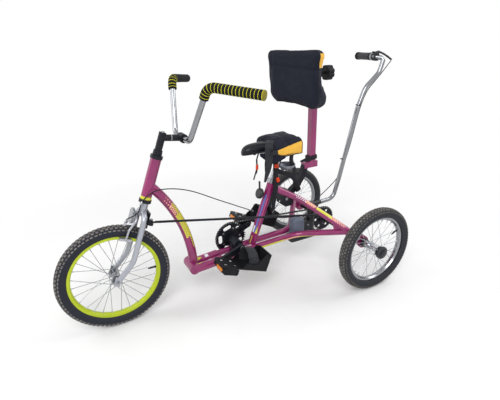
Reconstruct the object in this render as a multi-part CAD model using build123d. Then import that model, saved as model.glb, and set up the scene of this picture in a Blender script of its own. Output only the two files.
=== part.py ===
from build123d import *
import math
import os

# Rehabilitation tricycle for a child: one steered front wheel, two rear wheels,
# a low painted tube frame, a padded saddle, a backrest on a post, pedals with
# foot plates and an attendant's push handle that also steers.
# Millimetres. While it is built, X runs forward from the rear axle, Y to the
# rider's left and Z up from the ground. At the end everything is moved along X
# so that the origin lies at the bottom centre of the whole machine.

# ---------------------------------------------------------------- driving sizes
WHEELBASE = 1110.0
TRACK = 682.0
FRONT_TYRE_R = 230.0
FRONT_TYRE_W = 48.0
FRONT_TYRE_H = 44.0
REAR_TYRE_R = 203.0
REAR_TYRE_W = 50.0
REAR_TYRE_H = 42.0
RIM_W = 26.0
RIM_DEPTH = 15.0
RIM_WALL = 1.6
RIM_FLANGE = 6.0
SPOKE_R = 1.1
SPOKES_PER_FLANGE = 14
SPOKE_LEAN = 62.0
RUNNING_GAP = 0.05
SEAT_GAP = 0.3

# steering, measured up the steering axis from the foot of the front axle's offset
HEAD_ANGLE = 21.5
RAKE = 41.0
TYRE_ROOM = 70.0
HEAD_TUBE_R = 22.0
HEAD_TUBE_LENGTH = 170.0
STEERER_R = 12.7
CUP_R = 25.0
CUP_H = 14.0
CROWN_DROP = 52.0
BLADE_R = 11.5
FORK_HALF = 52.0
FRONT_AXLE_R = 4.75
FRONT_HUB_HALF = 46.0
STEM_RISE = 106.0
BAR_R = 11.1
BAR_SETBACK = 82.0
BAR_FOOT_Y = 84.0
BAR_RISE = 212.0
BAR_CORNER_Y = 197.0
BAR_END_Y = 362.0
BAR_FOOT_BEND = 38.0
BAR_CORNER_BEND = 45.0
GRIP_R = 17.5
GRIP_BELOW_CORNER = 48.0
REFLECTOR_W = 46.0
REFLECTOR_H = 62.0
REFLECTOR_T = 10.0

# frame tubes
DOWN_TUBE_R = 20.0
CROSS_TUBE_R = 24.0
CROSS_TUBE_LENGTH = 92.0
CROSS_TUBE_BACK = 332.0
CROSS_TUBE_Z = 180.0
LOWER_TUBE_R = 15.0
LOWER_SLEEVE_R = 20.0
LOWER_SLEEVE_LENGTH = 138.0
LOWER_TUBE_Y = 30.0
SEAT_TUBE_R = 19.0
SEAT_TUBE_FOOT = (468.0, 0.0, 202.0)
SEAT_TUBE_TOP = (355.0, 0.0, 494.0)
STAY_R = 15.0
CARRIER_INSET = 79.0
CARRIER_T = 10.0
AXLE_R = 8.5
REAR_HUB_INNER = 70.0
REAR_HUB_OUTER = 52.0
HUB_CAP_R = 30.0

# drive
BB_X = 555.0
BB_Z = 238.0
BB_SHELL_R = 21.0
BB_SHELL_HALF = 36.0
SPINDLE_R = 8.5
CRANK_LENGTH = 108.0
CRANK_ANGLE = 19.0
CRANK_Y = 66.0
CRANK_T = 14.0
CHAIN_Y = -50.0
CHAIN_PITCH = 12.7
CHAINRING_TEETH = 38
SPROCKET_TEETH = 32
DISC_T = 2.6
PEDAL_PIN_R = 7.0
PEDAL_Y = 132.0
PEDAL_BODY_W = 104.0
PEDAL_BODY_LENGTH = 74.0
PEDAL_BODY_AHEAD = 9.0
PEDAL_BODY_T = 30.0
PEDAL_TILT_LEFT = 22.0
PEDAL_TILT_RIGHT = 27.0
PLATE_TOE = 62.0
PLATE_HEEL = 169.0
PLATE_HALF = 52.0
PLATE_T = 4.0
WALL_FRONT = 44.0
WALL_LOW = 26.0
WALL_HIGH = 78.0
STRAP_BACK = 125.0
STRAP_W = 52.0
STRAP_RISE = 76.0
STRAP_T = 3.0

# seat and backrest
SEAT_POST_R = 13.6
SADDLE_TOP = 700.0
CUSHION_FRONT = 386.0
CUSHION_REAR = 240.0
CUSHION_HALF = 96.0
CUSHION_LOW = 636.0
CUSHION_TOP = 727.0
PAD_WIDTH = 288.0
PAD_HEIGHT = 236.0
PAD_TURN = 20.0
PAD_CENTRE = (225.0, 0.0, 962.0)
PAD_HALF_T = 29.0
POST_X = 128.0
POST_SIDE = 30.0
POST_FOOT_Z = 550.0
KNOB_R = 33.0

# push handle and its linkage to the fork
PIVOT_X = 120.0
PIVOT_LOW = 158.0
PIVOT_DECK = 184.0
PIVOT_HIGH = 276.0
SPIGOT_R = 10.0
PUSH_TUBE_R = 11.0
PUSH_GRIP_R = 17.5
ROD_R = 5.0
ARM_SIDE = 60.0
ARM_BACK = 24.0
ARM_BELOW_CROWN = 22.0
ARM_PIN_R = 4.0
ARM_T = 8.0
EYE_R = 10.0
EYE_H = 8.0
ROD_PLAY = 1.8
ROD_TILT = 0.026

# brake cable
CABLE_R = 2.2
CABLE_BEND = 0.45

# sizes that follow from the ones above
FRONT_RIM_R = FRONT_TYRE_R - FRONT_TYRE_H
REAR_RIM_R = REAR_TYRE_R - REAR_TYRE_H
CROWN_T = FRONT_TYRE_R + TYRE_ROOM
HEAD_TUBE_LOW = CROWN_T + CROWN_DROP
HEAD_TUBE_HIGH = HEAD_TUBE_LOW + HEAD_TUBE_LENGTH
STEM_TOP = HEAD_TUBE_HIGH + STEM_RISE
CROSS_TUBE_X = WHEELBASE - CROSS_TUBE_BACK
CARRIER_Y = TRACK / 2 - CARRIER_INSET


# ---------------------------------------------------------------- small helpers
def rod(start, end, radius):
    """A straight round bar from one point to another."""
    run = Vector(end) - Vector(start)
    return Plane(origin=start, z_dir=run) * extrude(Circle(radius), run.length)


def bent_bar(points, radii, radius):
    """A round bar along straight runs joined by tangent arcs."""
    path = FilletPolyline(*points, radius=radii)
    return sweep(Plane(origin=path @ 0, z_dir=path % 0) * Circle(radius), path=path)


def bent_strip(points, radii, width, thickness):
    """A flat bar, its width level and across, along runs joined by tangent arcs."""
    path = FilletPolyline(*points, radius=radii)
    start = Plane(origin=path @ 0, z_dir=path % 0, x_dir=(0, 1, 0))
    return sweep(start * Rectangle(width, thickness), path=path)


def cable(name, points):
    """Cable along a route by hand: each arc takes up most of its shorter run."""
    radii = []
    for before, here, after in zip(points, points[1:], points[2:]):
        run_in = Vector(here) - Vector(before)
        run_out = Vector(after) - Vector(here)
        half_turn = math.radians(run_in.get_angle(run_out)) / 2
        radii.append(CABLE_BEND * min(run_in.length, run_out.length) / math.tan(half_turn))
    print(name, "arc radii", [round(radius) for radius in radii])
    path = FilletPolyline(*points, radius=radii)
    return sweep(Plane(origin=path @ 0, z_dir=path % 0) * Circle(CABLE_R), path=path)


def cylinder_y(x, z, radius, y_low, y_high):
    """A cylinder along Y."""
    return rod((x, y_low, z), (x, y_high, z), radius)


def block(low, high):
    """A box between two opposite corners."""
    size = Vector(high) - Vector(low)
    return Pos(*((Vector(high) + Vector(low)) / 2)) * Box(*size)


def mirrored(shape):
    """The same piece on the rider's other side."""
    return mirror(shape, about=Plane.XZ)


def spun_y(profile):
    """Revolve a profile drawn in (radius, y) about the Y axis."""
    return revolve(Plane.YZ * profile, axis=Axis.Y)


def ring_profile(points):
    """A closed outline given as (y, radius) points."""
    return make_face(Polyline(*points, close=True))


# ---------------------------------------------------------------- steering frame
SLOPE = math.radians(HEAD_ANGLE)
UP = Vector(-math.sin(SLOPE), 0, math.cos(SLOPE))
AHEAD = Vector(math.cos(SLOPE), 0, math.sin(SLOPE))
FRONT_AXLE = Vector(WHEELBASE, 0, FRONT_TYRE_R)
STEER_FOOT = FRONT_AXLE - AHEAD * RAKE
STEER = Plane(origin=STEER_FOOT, x_dir=AHEAD, z_dir=UP)


def on_steering(x, y, t):
    """A point given ahead of, beside and up along the steering axis."""
    return STEER_FOOT + AHEAD * x + Vector(0, y, 0) + UP * t


# ---------------------------------------------------------------- wheels
def rim(rim_r):
    """Alloy rim: two flanges, a tyre bed and a shallow box below it."""
    half = RIM_W / 2
    bed = rim_r - RIM_FLANGE
    inner = rim_r - RIM_DEPTH
    outline = [
        (-half, rim_r), (-half + RIM_WALL, rim_r), (-half + RIM_WALL, bed),
        (half - RIM_WALL, bed), (half - RIM_WALL, rim_r), (half, rim_r),
        (half, bed - 4.0), (half * 0.45, inner), (-half * 0.45, inner), (-half, bed - 4.0),
    ]
    return spun_y(ring_profile(outline))


def tyre(tyre_r, width, rim_r):
    """Round tyre seated on the bed and between the flanges of its rim."""
    section = Pos(0, tyre_r - width / 2) * Circle(width / 2)
    bed = rim_r - RIM_FLANGE
    below = Pos(0, bed / 2) * Rectangle(width * 2, bed)
    flanges = Pos(0, rim_r / 2) * Rectangle(width * 2, rim_r)
    inside = Pos(0, rim_r / 2) * Rectangle(RIM_W - 2 * RIM_WALL, rim_r)
    return spun_y(section - below - (flanges - inside))


def spokes(rim_r, flange_r, flanges):
    """Crossed spokes from both hub flanges, given along the axle, to the rim."""
    inner = rim_r - RIM_DEPTH - SEAT_GAP
    count = 2 * SPOKES_PER_FLANGE
    bars = []
    for number in range(count):
        flange_y = flanges[number % 2]
        lean = 1 if (number // 2) % 2 else -1
        at_rim = math.radians(360.0 / count * number)
        at_hub = at_rim + math.radians(lean * SPOKE_LEAN)
        foot = (flange_r * math.cos(at_hub), flange_y, flange_r * math.sin(at_hub))
        head = (inner * math.cos(at_rim), 0.0, inner * math.sin(at_rim))
        bars.append(rod(foot, head, SPOKE_R))
    return bars


def hub_shell(low, high, flanges, barrel_r, flange_r, bore_r):
    """Turned hub body between two faces, with a thin flange for each row of spokes."""
    left, right = flanges
    half = 1.6
    rim_of_flange = flange_r + 3.0
    outline = [
        (low, bore_r), (low, barrel_r), (left - half, barrel_r), (left - half, rim_of_flange),
        (left + half, rim_of_flange), (left + half, barrel_r), (right - half, barrel_r),
        (right - half, rim_of_flange), (right + half, rim_of_flange), (right + half, barrel_r),
        (high, barrel_r), (high, bore_r),
    ]
    return spun_y(ring_profile(outline))


def front_wheel():
    place = Pos(*FRONT_AXLE)
    flanges = (-33.0, 33.0)
    flange_r = 19.0
    bore_r = FRONT_AXLE_R + RUNNING_GAP
    shell = hub_shell(-FRONT_HUB_HALF, FRONT_HUB_HALF, flanges, 13.0, flange_r, bore_r)
    return {
        "front_tyre": place * tyre(FRONT_TYRE_R, FRONT_TYRE_W, FRONT_RIM_R),
        "front_rim": place * rim(FRONT_RIM_R),
        "front_hub": place * shell.fuse(*spokes(FRONT_RIM_R, flange_r, flanges)),
    }


def rear_hub():
    """Left rear hub: seal ring inboard, long barrel, round dust cap outboard."""
    flanges = (-30.0, 26.0)
    flange_r = 21.0
    bore_r = AXLE_R + RUNNING_GAP
    shell = hub_shell(-REAR_HUB_INNER, 38.0, flanges, 14.0, flange_r, bore_r)
    seal = spun_y(ring_profile([
        (-REAR_HUB_INNER, bore_r), (-REAR_HUB_INNER, 21.0), (-58.0, 21.0), (-56.0, 14.0),
        (-56.0, bore_r),
    ]))
    cap = spun_y(ring_profile([
        (36.0, bore_r), (36.0, HUB_CAP_R - 4), (40.0, HUB_CAP_R), (REAR_HUB_OUTER - 4, HUB_CAP_R),
        (REAR_HUB_OUTER, HUB_CAP_R - 4), (REAR_HUB_OUTER, 0.0), (REAR_HUB_OUTER - 3, 0.0),
        (REAR_HUB_OUTER - 3, bore_r),
    ]))
    return shell.fuse(seal, cap, *spokes(REAR_RIM_R, flange_r, flanges))


def rear_wheel(side, name):
    place = Pos(0, side * TRACK / 2, REAR_TYRE_R)
    hub = rear_hub() if side > 0 else mirrored(rear_hub())
    return {
        "rear_tyre_" + name: place * tyre(REAR_TYRE_R, REAR_TYRE_W, REAR_RIM_R),
        "rear_rim_" + name: place * rim(REAR_RIM_R),
        "rear_hub_" + name: place * hub,
    }


# ---------------------------------------------------------------- steering pieces
def steerer():
    return rod(on_steering(0, 0, CROWN_T), on_steering(0, 0, STEM_TOP - 70), STEERER_R)


def fork():
    """Unicrown fork: steerer, two curved blades and flat ends for the axle."""
    low_cup = HEAD_TUBE_LOW - CUP_H
    crown = rod(on_steering(0, 0, CROWN_T - 16), on_steering(0, 0, low_cup), 17.0)
    blades = []
    for side in (1, -1):
        top = on_steering(0, 0, CROWN_T)
        shoulder = on_steering(0, side * FORK_HALF, CROWN_T - 6)
        knee = on_steering(0, side * FORK_HALF, 95)
        tip = on_steering(RAKE - 5, side * FORK_HALF, 14)
        blades.append(bent_bar([top, shoulder, knee, tip], [34.0, 90.0], BLADE_R))
        blades.append(STEER * (Pos(RAKE, side * FORK_HALF, 4) * Box(24, 6, 40)))
    body = steerer().fuse(crown, *blades)
    return body - cylinder_y(WHEELBASE, FRONT_TYRE_R, FRONT_AXLE_R, -90, 90)


def front_axle():
    """Axle with a cone inside and a nut outside each fork end."""
    outer = FORK_HALF + 3
    bar = cylinder_y(WHEELBASE, FRONT_TYRE_R, FRONT_AXLE_R, -outer - 14, outer + 14)
    cone_from = FRONT_HUB_HALF + SEAT_GAP
    cone_length = FORK_HALF - 3 - cone_from
    pieces = []
    for side in (1, -1):
        face = Plane(origin=(WHEELBASE, side * outer, FRONT_TYRE_R), z_dir=(0, side, 0))
        pieces.append(face * extrude(RegularPolygon(9.0, 6), 8))
        inner = Plane(origin=(WHEELBASE, side * cone_from, FRONT_TYRE_R), z_dir=(0, side, 0))
        pieces.append(inner * extrude(Circle(8.5), cone_length))
    return bar.fuse(*pieces)


def headset():
    """Lower and upper cups pressed into the head tube, bored for the steerer."""
    low_from = HEAD_TUBE_LOW - CUP_H + SEAT_GAP
    high_to = HEAD_TUBE_HIGH + CUP_H
    low = rod(on_steering(0, 0, low_from), on_steering(0, 0, HEAD_TUBE_LOW), CUP_R)
    high = rod(on_steering(0, 0, HEAD_TUBE_HIGH), on_steering(0, 0, high_to), CUP_R)
    bore = rod(on_steering(0, 0, low_from - 10), on_steering(0, 0, high_to + 10),
               STEERER_R + RUNNING_GAP)
    return low - bore, high - bore


BAR_CLAMP = on_steering(-BAR_SETBACK, 0, STEM_TOP - 2)
BAR_FOOT = on_steering(-BAR_SETBACK, BAR_FOOT_Y, STEM_TOP - 2)
BAR_CORNER = on_steering(-45, BAR_CORNER_Y, STEM_TOP - 2 + BAR_RISE)
BAR_END = on_steering(-166, BAR_END_Y, STEM_TOP + 23 + BAR_RISE)


def stem():
    """Locknut, quill and rearward clamp for the handlebar."""
    nut_from = HEAD_TUBE_HIGH + CUP_H + SEAT_GAP
    nut = rod(on_steering(0, 0, nut_from), on_steering(0, 0, nut_from + 20), 18.0)
    quill = rod(on_steering(0, 0, nut_from), on_steering(0, 0, STEM_TOP), 14.5)
    reach = rod(on_steering(0, 0, STEM_TOP - 22), BAR_CLAMP, 13.0)
    clamp = cylinder_y(BAR_CLAMP.X, BAR_CLAMP.Z, 18.0, -22, 22)
    bore = cylinder_y(BAR_CLAMP.X, BAR_CLAMP.Z, BAR_R, -30, 30)
    return nut.fuse(quill, reach, clamp) - bore - steerer()


def handlebar():
    """Chrome bar: clamp, two risers leaning out and two swept-out grips."""
    half = [BAR_CLAMP, BAR_FOOT, BAR_CORNER, BAR_END]
    left = bent_bar(half, [BAR_FOOT_BEND, BAR_CORNER_BEND], BAR_R)
    return left.fuse(mirrored(left))


def grip():
    """Foam grip over the bend and the end of the bar."""
    start = BAR_CORNER + (BAR_FOOT - BAR_CORNER).normalized() * GRIP_BELOW_CORNER
    end = BAR_END + (BAR_END - BAR_CORNER).normalized() * 6.0
    outer = bent_bar([start, BAR_CORNER, end], [BAR_CORNER_BEND], GRIP_R)
    inner = bent_bar([BAR_FOOT, BAR_CORNER, BAR_END], [BAR_CORNER_BEND], BAR_R)
    return outer - inner


# The rod's joints share one axis, tipped a little so that the rod stays level.
ROD_AXIS = (UP - Vector(0, ROD_TILT, 0)).normalized()
ARM_HEIGHT = CROWN_T - ARM_BELOW_CROWN
FRONT_EYE = on_steering(-ARM_BACK, ARM_SIDE, ARM_HEIGHT)


def steering_arm():
    """Bracket behind the fork crown with an arm out to the steering rod."""
    plate = STEER * (Pos(-22, 0, CROWN_T - 30) * Box(10, 60, 66))
    seat = FRONT_EYE - ROD_AXIS * (EYE_H / 2 + SEAT_GAP + ARM_T / 2)
    face = Plane(origin=seat, x_dir=AHEAD, z_dir=ROD_AXIS)
    reach = make_hull([*Circle(12.0).edges(), *(Pos(4, 14 - ARM_SIDE) * Circle(12.0)).edges()])
    arm = extrude(face * reach, ARM_T / 2, both=True)
    pin = rod(seat, FRONT_EYE + ROD_AXIS * (EYE_H / 2 + 6), ARM_PIN_R)
    head_from = FRONT_EYE + ROD_AXIS * (EYE_H / 2 + SEAT_GAP)
    head = rod(head_from, head_from + ROD_AXIS * 5, 7.0)
    return plate.fuse(arm, pin, head) - fork()


BRAKE_BOLT_T = CROWN_T - 10.0
PAD_T = FRONT_RIM_R - 7.0


def front_brake():
    """Side-pull caliper: bolt, two arms, a pad beside each side of the rim, cable arm."""
    bolt = rod(on_steering(10, 0, BRAKE_BOLT_T), on_steering(32.7, 0, BRAKE_BOLT_T), 5.0)
    arms = []
    for side in (1, -1):
        path = [
            on_steering(24, 0, BRAKE_BOLT_T), on_steering(25, side * 38, BRAKE_BOLT_T - 20),
            on_steering(44, side * 36, PAD_T + 44), on_steering(46, side * 31, PAD_T),
        ]
        arms.append(bent_bar(path, [14.0, 30.0], 4.5))
        arms.append(STEER * (Pos(46, side * 24, PAD_T) * Box(48, 16.8, 10)))
    cable_arm = rod(on_steering(31, 37.6, PAD_T + 74), on_steering(63, 25, PAD_T + 66), 4.0)
    anchor = rod(on_steering(63, 25, PAD_T + 60), on_steering(63, 25, PAD_T + 71), 5.0)
    return bolt.fuse(cable_arm, anchor, *arms) - fork()


def front_reflector():
    """Clear reflector with a rounded top, on the head of the brake bolt."""
    round_r = REFLECTOR_W / 2
    outline = Rectangle(REFLECTOR_W, REFLECTOR_H)
    outline = fillet(outline.vertices().group_by(Axis.Y)[-1], round_r - 1)
    outline = fillet(outline.vertices().group_by(Axis.Y)[0], 5.0)
    centre = on_steering(33 + REFLECTOR_T, 0, CROWN_T - 23)
    face = Plane(origin=centre, x_dir=(0, 1, 0), z_dir=AHEAD)
    return extrude(face * outline, -REFLECTOR_T)


# ---------------------------------------------------------------- frame pieces
SEAT_AXIS = (Vector(SEAT_TUBE_TOP) - Vector(SEAT_TUBE_FOOT)).normalized()
SEAT_FRONT = Vector(SEAT_AXIS.Z, 0, -SEAT_AXIS.X)


def seat_line(distance):
    """A point on the seat tube's axis, measured up from its top."""
    return Vector(SEAT_TUBE_TOP) + SEAT_AXIS * distance


def head_tube():
    low = on_steering(0, 0, HEAD_TUBE_LOW)
    high = on_steering(0, 0, HEAD_TUBE_HIGH)
    return rod(low, high, HEAD_TUBE_R) - rod(low - UP, high + UP, STEERER_R + 4.0)


DOWN_TUBE_PATH = [
    on_steering(0, 0, HEAD_TUBE_LOW + 59), Vector(WHEELBASE - 308, 0, 443),
    Vector(WHEELBASE - 338, 0, 251), Vector(CROSS_TUBE_X - 9, 0, CROSS_TUBE_Z),
]


def down_bar():
    return bent_bar(DOWN_TUBE_PATH, [600.0, 220.0], DOWN_TUBE_R)


def down_tube():
    """Tube that leaves the head tube at a slant and drops to the cross tube."""
    solid_head = rod(on_steering(0, 0, HEAD_TUBE_LOW - 20), on_steering(0, 0, HEAD_TUBE_HIGH + 20),
                     HEAD_TUBE_R)
    return down_bar() - solid_head - cross_tube()


def cross_tube():
    half = CROSS_TUBE_LENGTH / 2
    return cylinder_y(CROSS_TUBE_X, CROSS_TUBE_Z, CROSS_TUBE_R, -half, half)


LOWER_PATH = [
    Vector(CROSS_TUBE_X, LOWER_TUBE_Y, 172), Vector(450, LOWER_TUBE_Y, 197),
    Vector(222, LOWER_TUBE_Y, 202), Vector(77, CARRIER_Y - 42, 259), Vector(40, CARRIER_Y, 240),
]


def carrier_room():
    """The space outboard of the left hub carrier's inner face."""
    return block((-100, CARRIER_Y - CARRIER_T / 2, 150), (150, CARRIER_Y + 60, 350))


def lower_tube():
    """Low beam: a thick sleeve at the front, then out to the rear wheel."""
    bar = bent_bar(LOWER_PATH, [400.0, 110.0, 24.0], LOWER_TUBE_R)
    run = (LOWER_PATH[1] - LOWER_PATH[0]).normalized()
    sleeve = rod(LOWER_PATH[0], LOWER_PATH[0] + run * LOWER_SLEEVE_LENGTH, LOWER_SLEEVE_R)
    return bar.fuse(sleeve) - cross_tube() - down_bar() - carrier_room()


def seat_tube():
    """Seat tube with the round knob and lever that lock the seat post."""
    bar = rod(SEAT_TUBE_FOOT, SEAT_TUBE_TOP, SEAT_TUBE_R)
    bore = rod(seat_line(-200), seat_line(10), SEAT_POST_R + SEAT_GAP)
    tube = bar - bore - lower_tube() - mirrored(lower_tube())
    root = seat_line(-60)
    face = root + SEAT_FRONT * (SEAT_TUBE_R + 17)
    stud = rod(root + SEAT_FRONT * (SEAT_TUBE_R - 2), face, 6.0)
    knob = rod(face, face + SEAT_FRONT * 18, 25.0)
    knob = fillet(knob.edges(), 5.0)
    lever = rod(face + SEAT_FRONT * 8, face + SEAT_FRONT * 8 + Vector(0, 0, 60), 4.5)
    return tube.fuse(stud, knob, lever)


def bottom_bracket():
    """Bearing shell for the crank, on a saddle between the low beams."""
    shell = cylinder_y(BB_X, BB_Z, BB_SHELL_R, -BB_SHELL_HALF, BB_SHELL_HALF)
    foot = block((BB_X - 24, -14, 176), (BB_X + 24, 14, BB_Z))
    bore = cylinder_y(BB_X, BB_Z, SPINDLE_R + RUNNING_GAP, -60, 60)
    return shell.fuse(foot) - bore - lower_tube() - mirrored(lower_tube())


STAY_PATH = [
    Vector(352, 16, 474), Vector(230, 60, 404), Vector(140, CARRIER_Y - 112, 328),
    Vector(64, CARRIER_Y - 16, 262),
]


def upper_stay():
    """Upper stay from the seat tube out to the hub carrier, with its rear gusset."""
    bar = bent_bar(STAY_PATH, [150.0, 200.0], STAY_R)
    upper = STAY_PATH[2] + (STAY_PATH[3] - STAY_PATH[2]) * 0.25
    lower = LOWER_PATH[2] + (LOWER_PATH[3] - LOWER_PATH[2]) * 0.78
    joint = LOWER_PATH[3] + Vector(0, 0, 6)
    outline = make_face(Polyline(upper, lower, joint, close=True))
    gusset = extrude(outline, 2.5, both=True)
    seat_bar = rod(SEAT_TUBE_FOOT, SEAT_TUBE_TOP, SEAT_TUBE_R)
    half_space = block((-300, 0, 0), (600, 500, 800))
    return (bar.fuse(gusset) & half_space) - seat_bar - carrier_room() - lower_tube()


def hub_carrier(side):
    """Plate with a round bearing boss at the end of the tubes that holds the rear axle."""
    y_mid = side * CARRIER_Y
    outline = make_hull([
        *Circle(30.0).edges(), *(Pos(62, 54) * Circle(24.0)).edges(),
    ])
    face = Plane(origin=(0, y_mid + CARRIER_T / 2, REAR_TYRE_R), x_dir=(1, 0, 0), z_dir=(0, -1, 0))
    boss_in = side * (CARRIER_Y - CARRIER_T / 2 - 12)
    boss = cylinder_y(0, REAR_TYRE_R, 24.0, *sorted((boss_in, y_mid)))
    plate = extrude(face * outline, CARRIER_T).fuse(boss)
    return plate - cylinder_y(0, REAR_TYRE_R, AXLE_R, -2 * TRACK, 2 * TRACK)


def rear_axle():
    """Cross axle with a collar outside each plate and a nut inside each dust cap."""
    tip = TRACK / 2 + REAR_HUB_OUTER - 4 - SEAT_GAP
    bar = cylinder_y(0, REAR_TYRE_R, AXLE_R, -tip, tip)
    collar_in = CARRIER_Y + CARRIER_T / 2
    collar_out = TRACK / 2 - REAR_HUB_INNER - SEAT_GAP
    collars = []
    for side in (1, -1):
        collars.append(cylinder_y(0, REAR_TYRE_R, 15.0, *sorted((side * collar_in, side * collar_out))))
    return bar.fuse(*collars)


# ---------------------------------------------------------------- drive
def pitch_radius(teeth):
    return CHAIN_PITCH / 2 / math.sin(math.pi / teeth)


def toothed_disc(teeth, x, z, cuts=()):
    """Sprocket blank with one rounded gap for each roller, and any other cuts."""
    radius = pitch_radius(teeth)
    outline = Circle(radius + 2.6) - PolarLocations(radius, teeth) * Circle(4.2)
    for cut in cuts:
        outline = outline - cut
    face = Plane(origin=(x, CHAIN_Y + DISC_T / 2, z), x_dir=(1, 0, 0), z_dir=(0, -1, 0))
    return extrude(face * outline, DISC_T)


def chainring():
    """Toothed ring on a five-slotted spider."""
    slot_r = pitch_radius(CHAINRING_TEETH) - 22.0
    slots = PolarLocations(slot_r, 5) * (Rot(0, 0, 90) * SlotOverall(42.0, 19.0))
    return toothed_disc(CHAINRING_TEETH, BB_X, BB_Z, [slots, Circle(SPINDLE_R)])


def drive_sprocket():
    """Large rear sprocket on its boss, turning on the cross axle."""
    holes = PolarLocations(pitch_radius(SPROCKET_TEETH) - 18.0, 6) * Circle(7.0)
    disc = toothed_disc(SPROCKET_TEETH, 0, REAR_TYRE_R, [holes])
    boss = cylinder_y(0, REAR_TYRE_R, 24.0, CHAIN_Y - 14, CHAIN_Y + 14)
    bore = cylinder_y(0, REAR_TYRE_R, AXLE_R + RUNNING_GAP, CHAIN_Y - 40, CHAIN_Y + 40)
    return disc.fuse(boss) - bore


def belt_outline(extra):
    """Closed outline of the chain line, widened by a distance."""
    front = Pos(BB_X, BB_Z) * Circle(pitch_radius(CHAINRING_TEETH) + extra)
    rear = Pos(0, REAR_TYRE_R) * Circle(pitch_radius(SPROCKET_TEETH) + extra)
    return make_hull([*front.edges(), *rear.edges()])


def chain():
    """Chain loop: side plates either side of the teeth, closed above the tips."""
    face = Plane(origin=(0, CHAIN_Y + 3.4, 0), x_dir=(1, 0, 0), z_dir=(0, -1, 0))
    loop = extrude(face * (belt_outline(4.6) - belt_outline(-4.2)), 6.8)
    groove_face = Plane(origin=(0, CHAIN_Y + 2.1, 0), x_dir=(1, 0, 0), z_dir=(0, -1, 0))
    groove = extrude(groove_face * belt_outline(3.2), 4.2)
    return loop - groove


def pedal_place(side):
    """Frame of a pedal: on its pin, tipped heel down. The left crank points ahead and down."""
    angle = math.radians(CRANK_ANGLE)
    tilt = math.radians(PEDAL_TILT_LEFT if side > 0 else PEDAL_TILT_RIGHT)
    x = BB_X + side * CRANK_LENGTH * math.cos(angle)
    z = BB_Z - side * CRANK_LENGTH * math.sin(angle)
    return Plane(origin=(x, side * PEDAL_Y, z), x_dir=(math.cos(tilt), 0, math.sin(tilt)),
                 z_dir=(-math.sin(tilt), 0, math.cos(tilt)))


def crank_arm(side):
    """Flat tapering arm with the pedal's pin at its end."""
    pin_at = pedal_place(side).origin
    y_face = side * (CRANK_Y - CRANK_T / 2)
    outline = make_hull([
        *Circle(15.0).edges(), *(Pos(pin_at.X - BB_X, pin_at.Z - BB_Z) * Circle(12.0)).edges(),
    ])
    face = Plane(origin=(BB_X, y_face, BB_Z), x_dir=(1, 0, 0), z_dir=(0, -1, 0))
    arm = extrude(face * outline, -side * CRANK_T)
    end = side * (PEDAL_Y + PEDAL_BODY_W / 2)
    return arm.fuse(cylinder_y(pin_at.X, pin_at.Z, PEDAL_PIN_R, *sorted((y_face, end))))


def crank_spindle():
    half = CRANK_Y - CRANK_T / 2
    return cylinder_y(BB_X, BB_Z, SPINDLE_R, -half, half)


def placed_pedal(side, left_shape):
    """A pedal piece drawn for the left foot, set on either crank."""
    shape = left_shape if side > 0 else mirrored(left_shape)
    return pedal_place(side) * shape


def pedal_body(side):
    """Pedal body bored for its pin, under the foot plate."""
    body = Box(PEDAL_BODY_LENGTH, PEDAL_BODY_W, PEDAL_BODY_T)
    body = Pos(PEDAL_BODY_AHEAD, 0, 0) * fillet(body.edges().filter_by(Axis.Y), 9.0)
    bore = Rot(90, 0, 0) * Cylinder(PEDAL_PIN_R + RUNNING_GAP, 2 * PEDAL_BODY_W)
    return placed_pedal(side, body - bore)


SOLE = PEDAL_BODY_T / 2
SOLE_TOP = SOLE + PLATE_T


def side_wall(y_outer):
    """Upright wall beside the heel, high at the back and low in front."""
    outline = make_face(Polyline(
        (-PLATE_HEEL, SOLE_TOP), (-WALL_FRONT, SOLE_TOP), (-WALL_FRONT - 14, SOLE_TOP + WALL_LOW),
        (-PLATE_HEEL + 62, SOLE_TOP + WALL_LOW), (-PLATE_HEEL + 22, SOLE_TOP + WALL_HIGH),
        (-PLATE_HEEL, SOLE_TOP + WALL_HIGH), close=True))
    face = Plane(origin=(0, y_outer, 0), x_dir=(1, 0, 0), z_dir=(0, -1, 0))
    return extrude(face * outline, PLATE_T)


def foot_plate(side):
    """Sandal plate: rounded toe, a wall along each side and a high heel cup."""
    middle = (PLATE_TOE - PLATE_HEEL) / 2
    outline = Pos(middle, 0) * Rectangle(PLATE_TOE + PLATE_HEEL, 2 * PLATE_HALF)
    outline = fillet(outline.vertices().group_by(Axis.X)[-1], 32.0)
    sole = Pos(0, 0, SOLE) * extrude(outline, PLATE_T)
    cup_outline = Pos(0, SOLE_TOP + WALL_HIGH / 2) * Rectangle(2 * PLATE_HALF, WALL_HIGH)
    cup_outline = fillet(cup_outline.vertices().group_by(Axis.Y)[-1], 8.0)
    cup_face = Plane(origin=(-PLATE_HEEL, 0, 0), x_dir=(0, 1, 0), z_dir=(1, 0, 0))
    cup = extrude(cup_face * cup_outline, PLATE_T)
    walls = [side_wall(PLATE_HALF), side_wall(-PLATE_HALF + PLATE_T)]
    return placed_pedal(side, sole.fuse(cup, *walls))


def foot_strap(side):
    """Wide webbing strap arched over the foot from one side wall to the other."""
    half = PLATE_HALF - PLATE_T
    hoop = Ellipse(half, STRAP_RISE) - Ellipse(half - STRAP_T, STRAP_RISE - STRAP_T)
    outline = hoop & Pos(0, STRAP_RISE) * Rectangle(4 * half, 2 * STRAP_RISE)
    face = Plane(origin=(-STRAP_BACK, 0, SOLE_TOP), x_dir=(0, 1, 0), z_dir=(1, 0, 0))
    return placed_pedal(side, extrude(face * outline, STRAP_W))


# ---------------------------------------------------------------- seat
def seat_post():
    return rod(seat_line(-120), seat_line(190), SEAT_POST_R)


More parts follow.
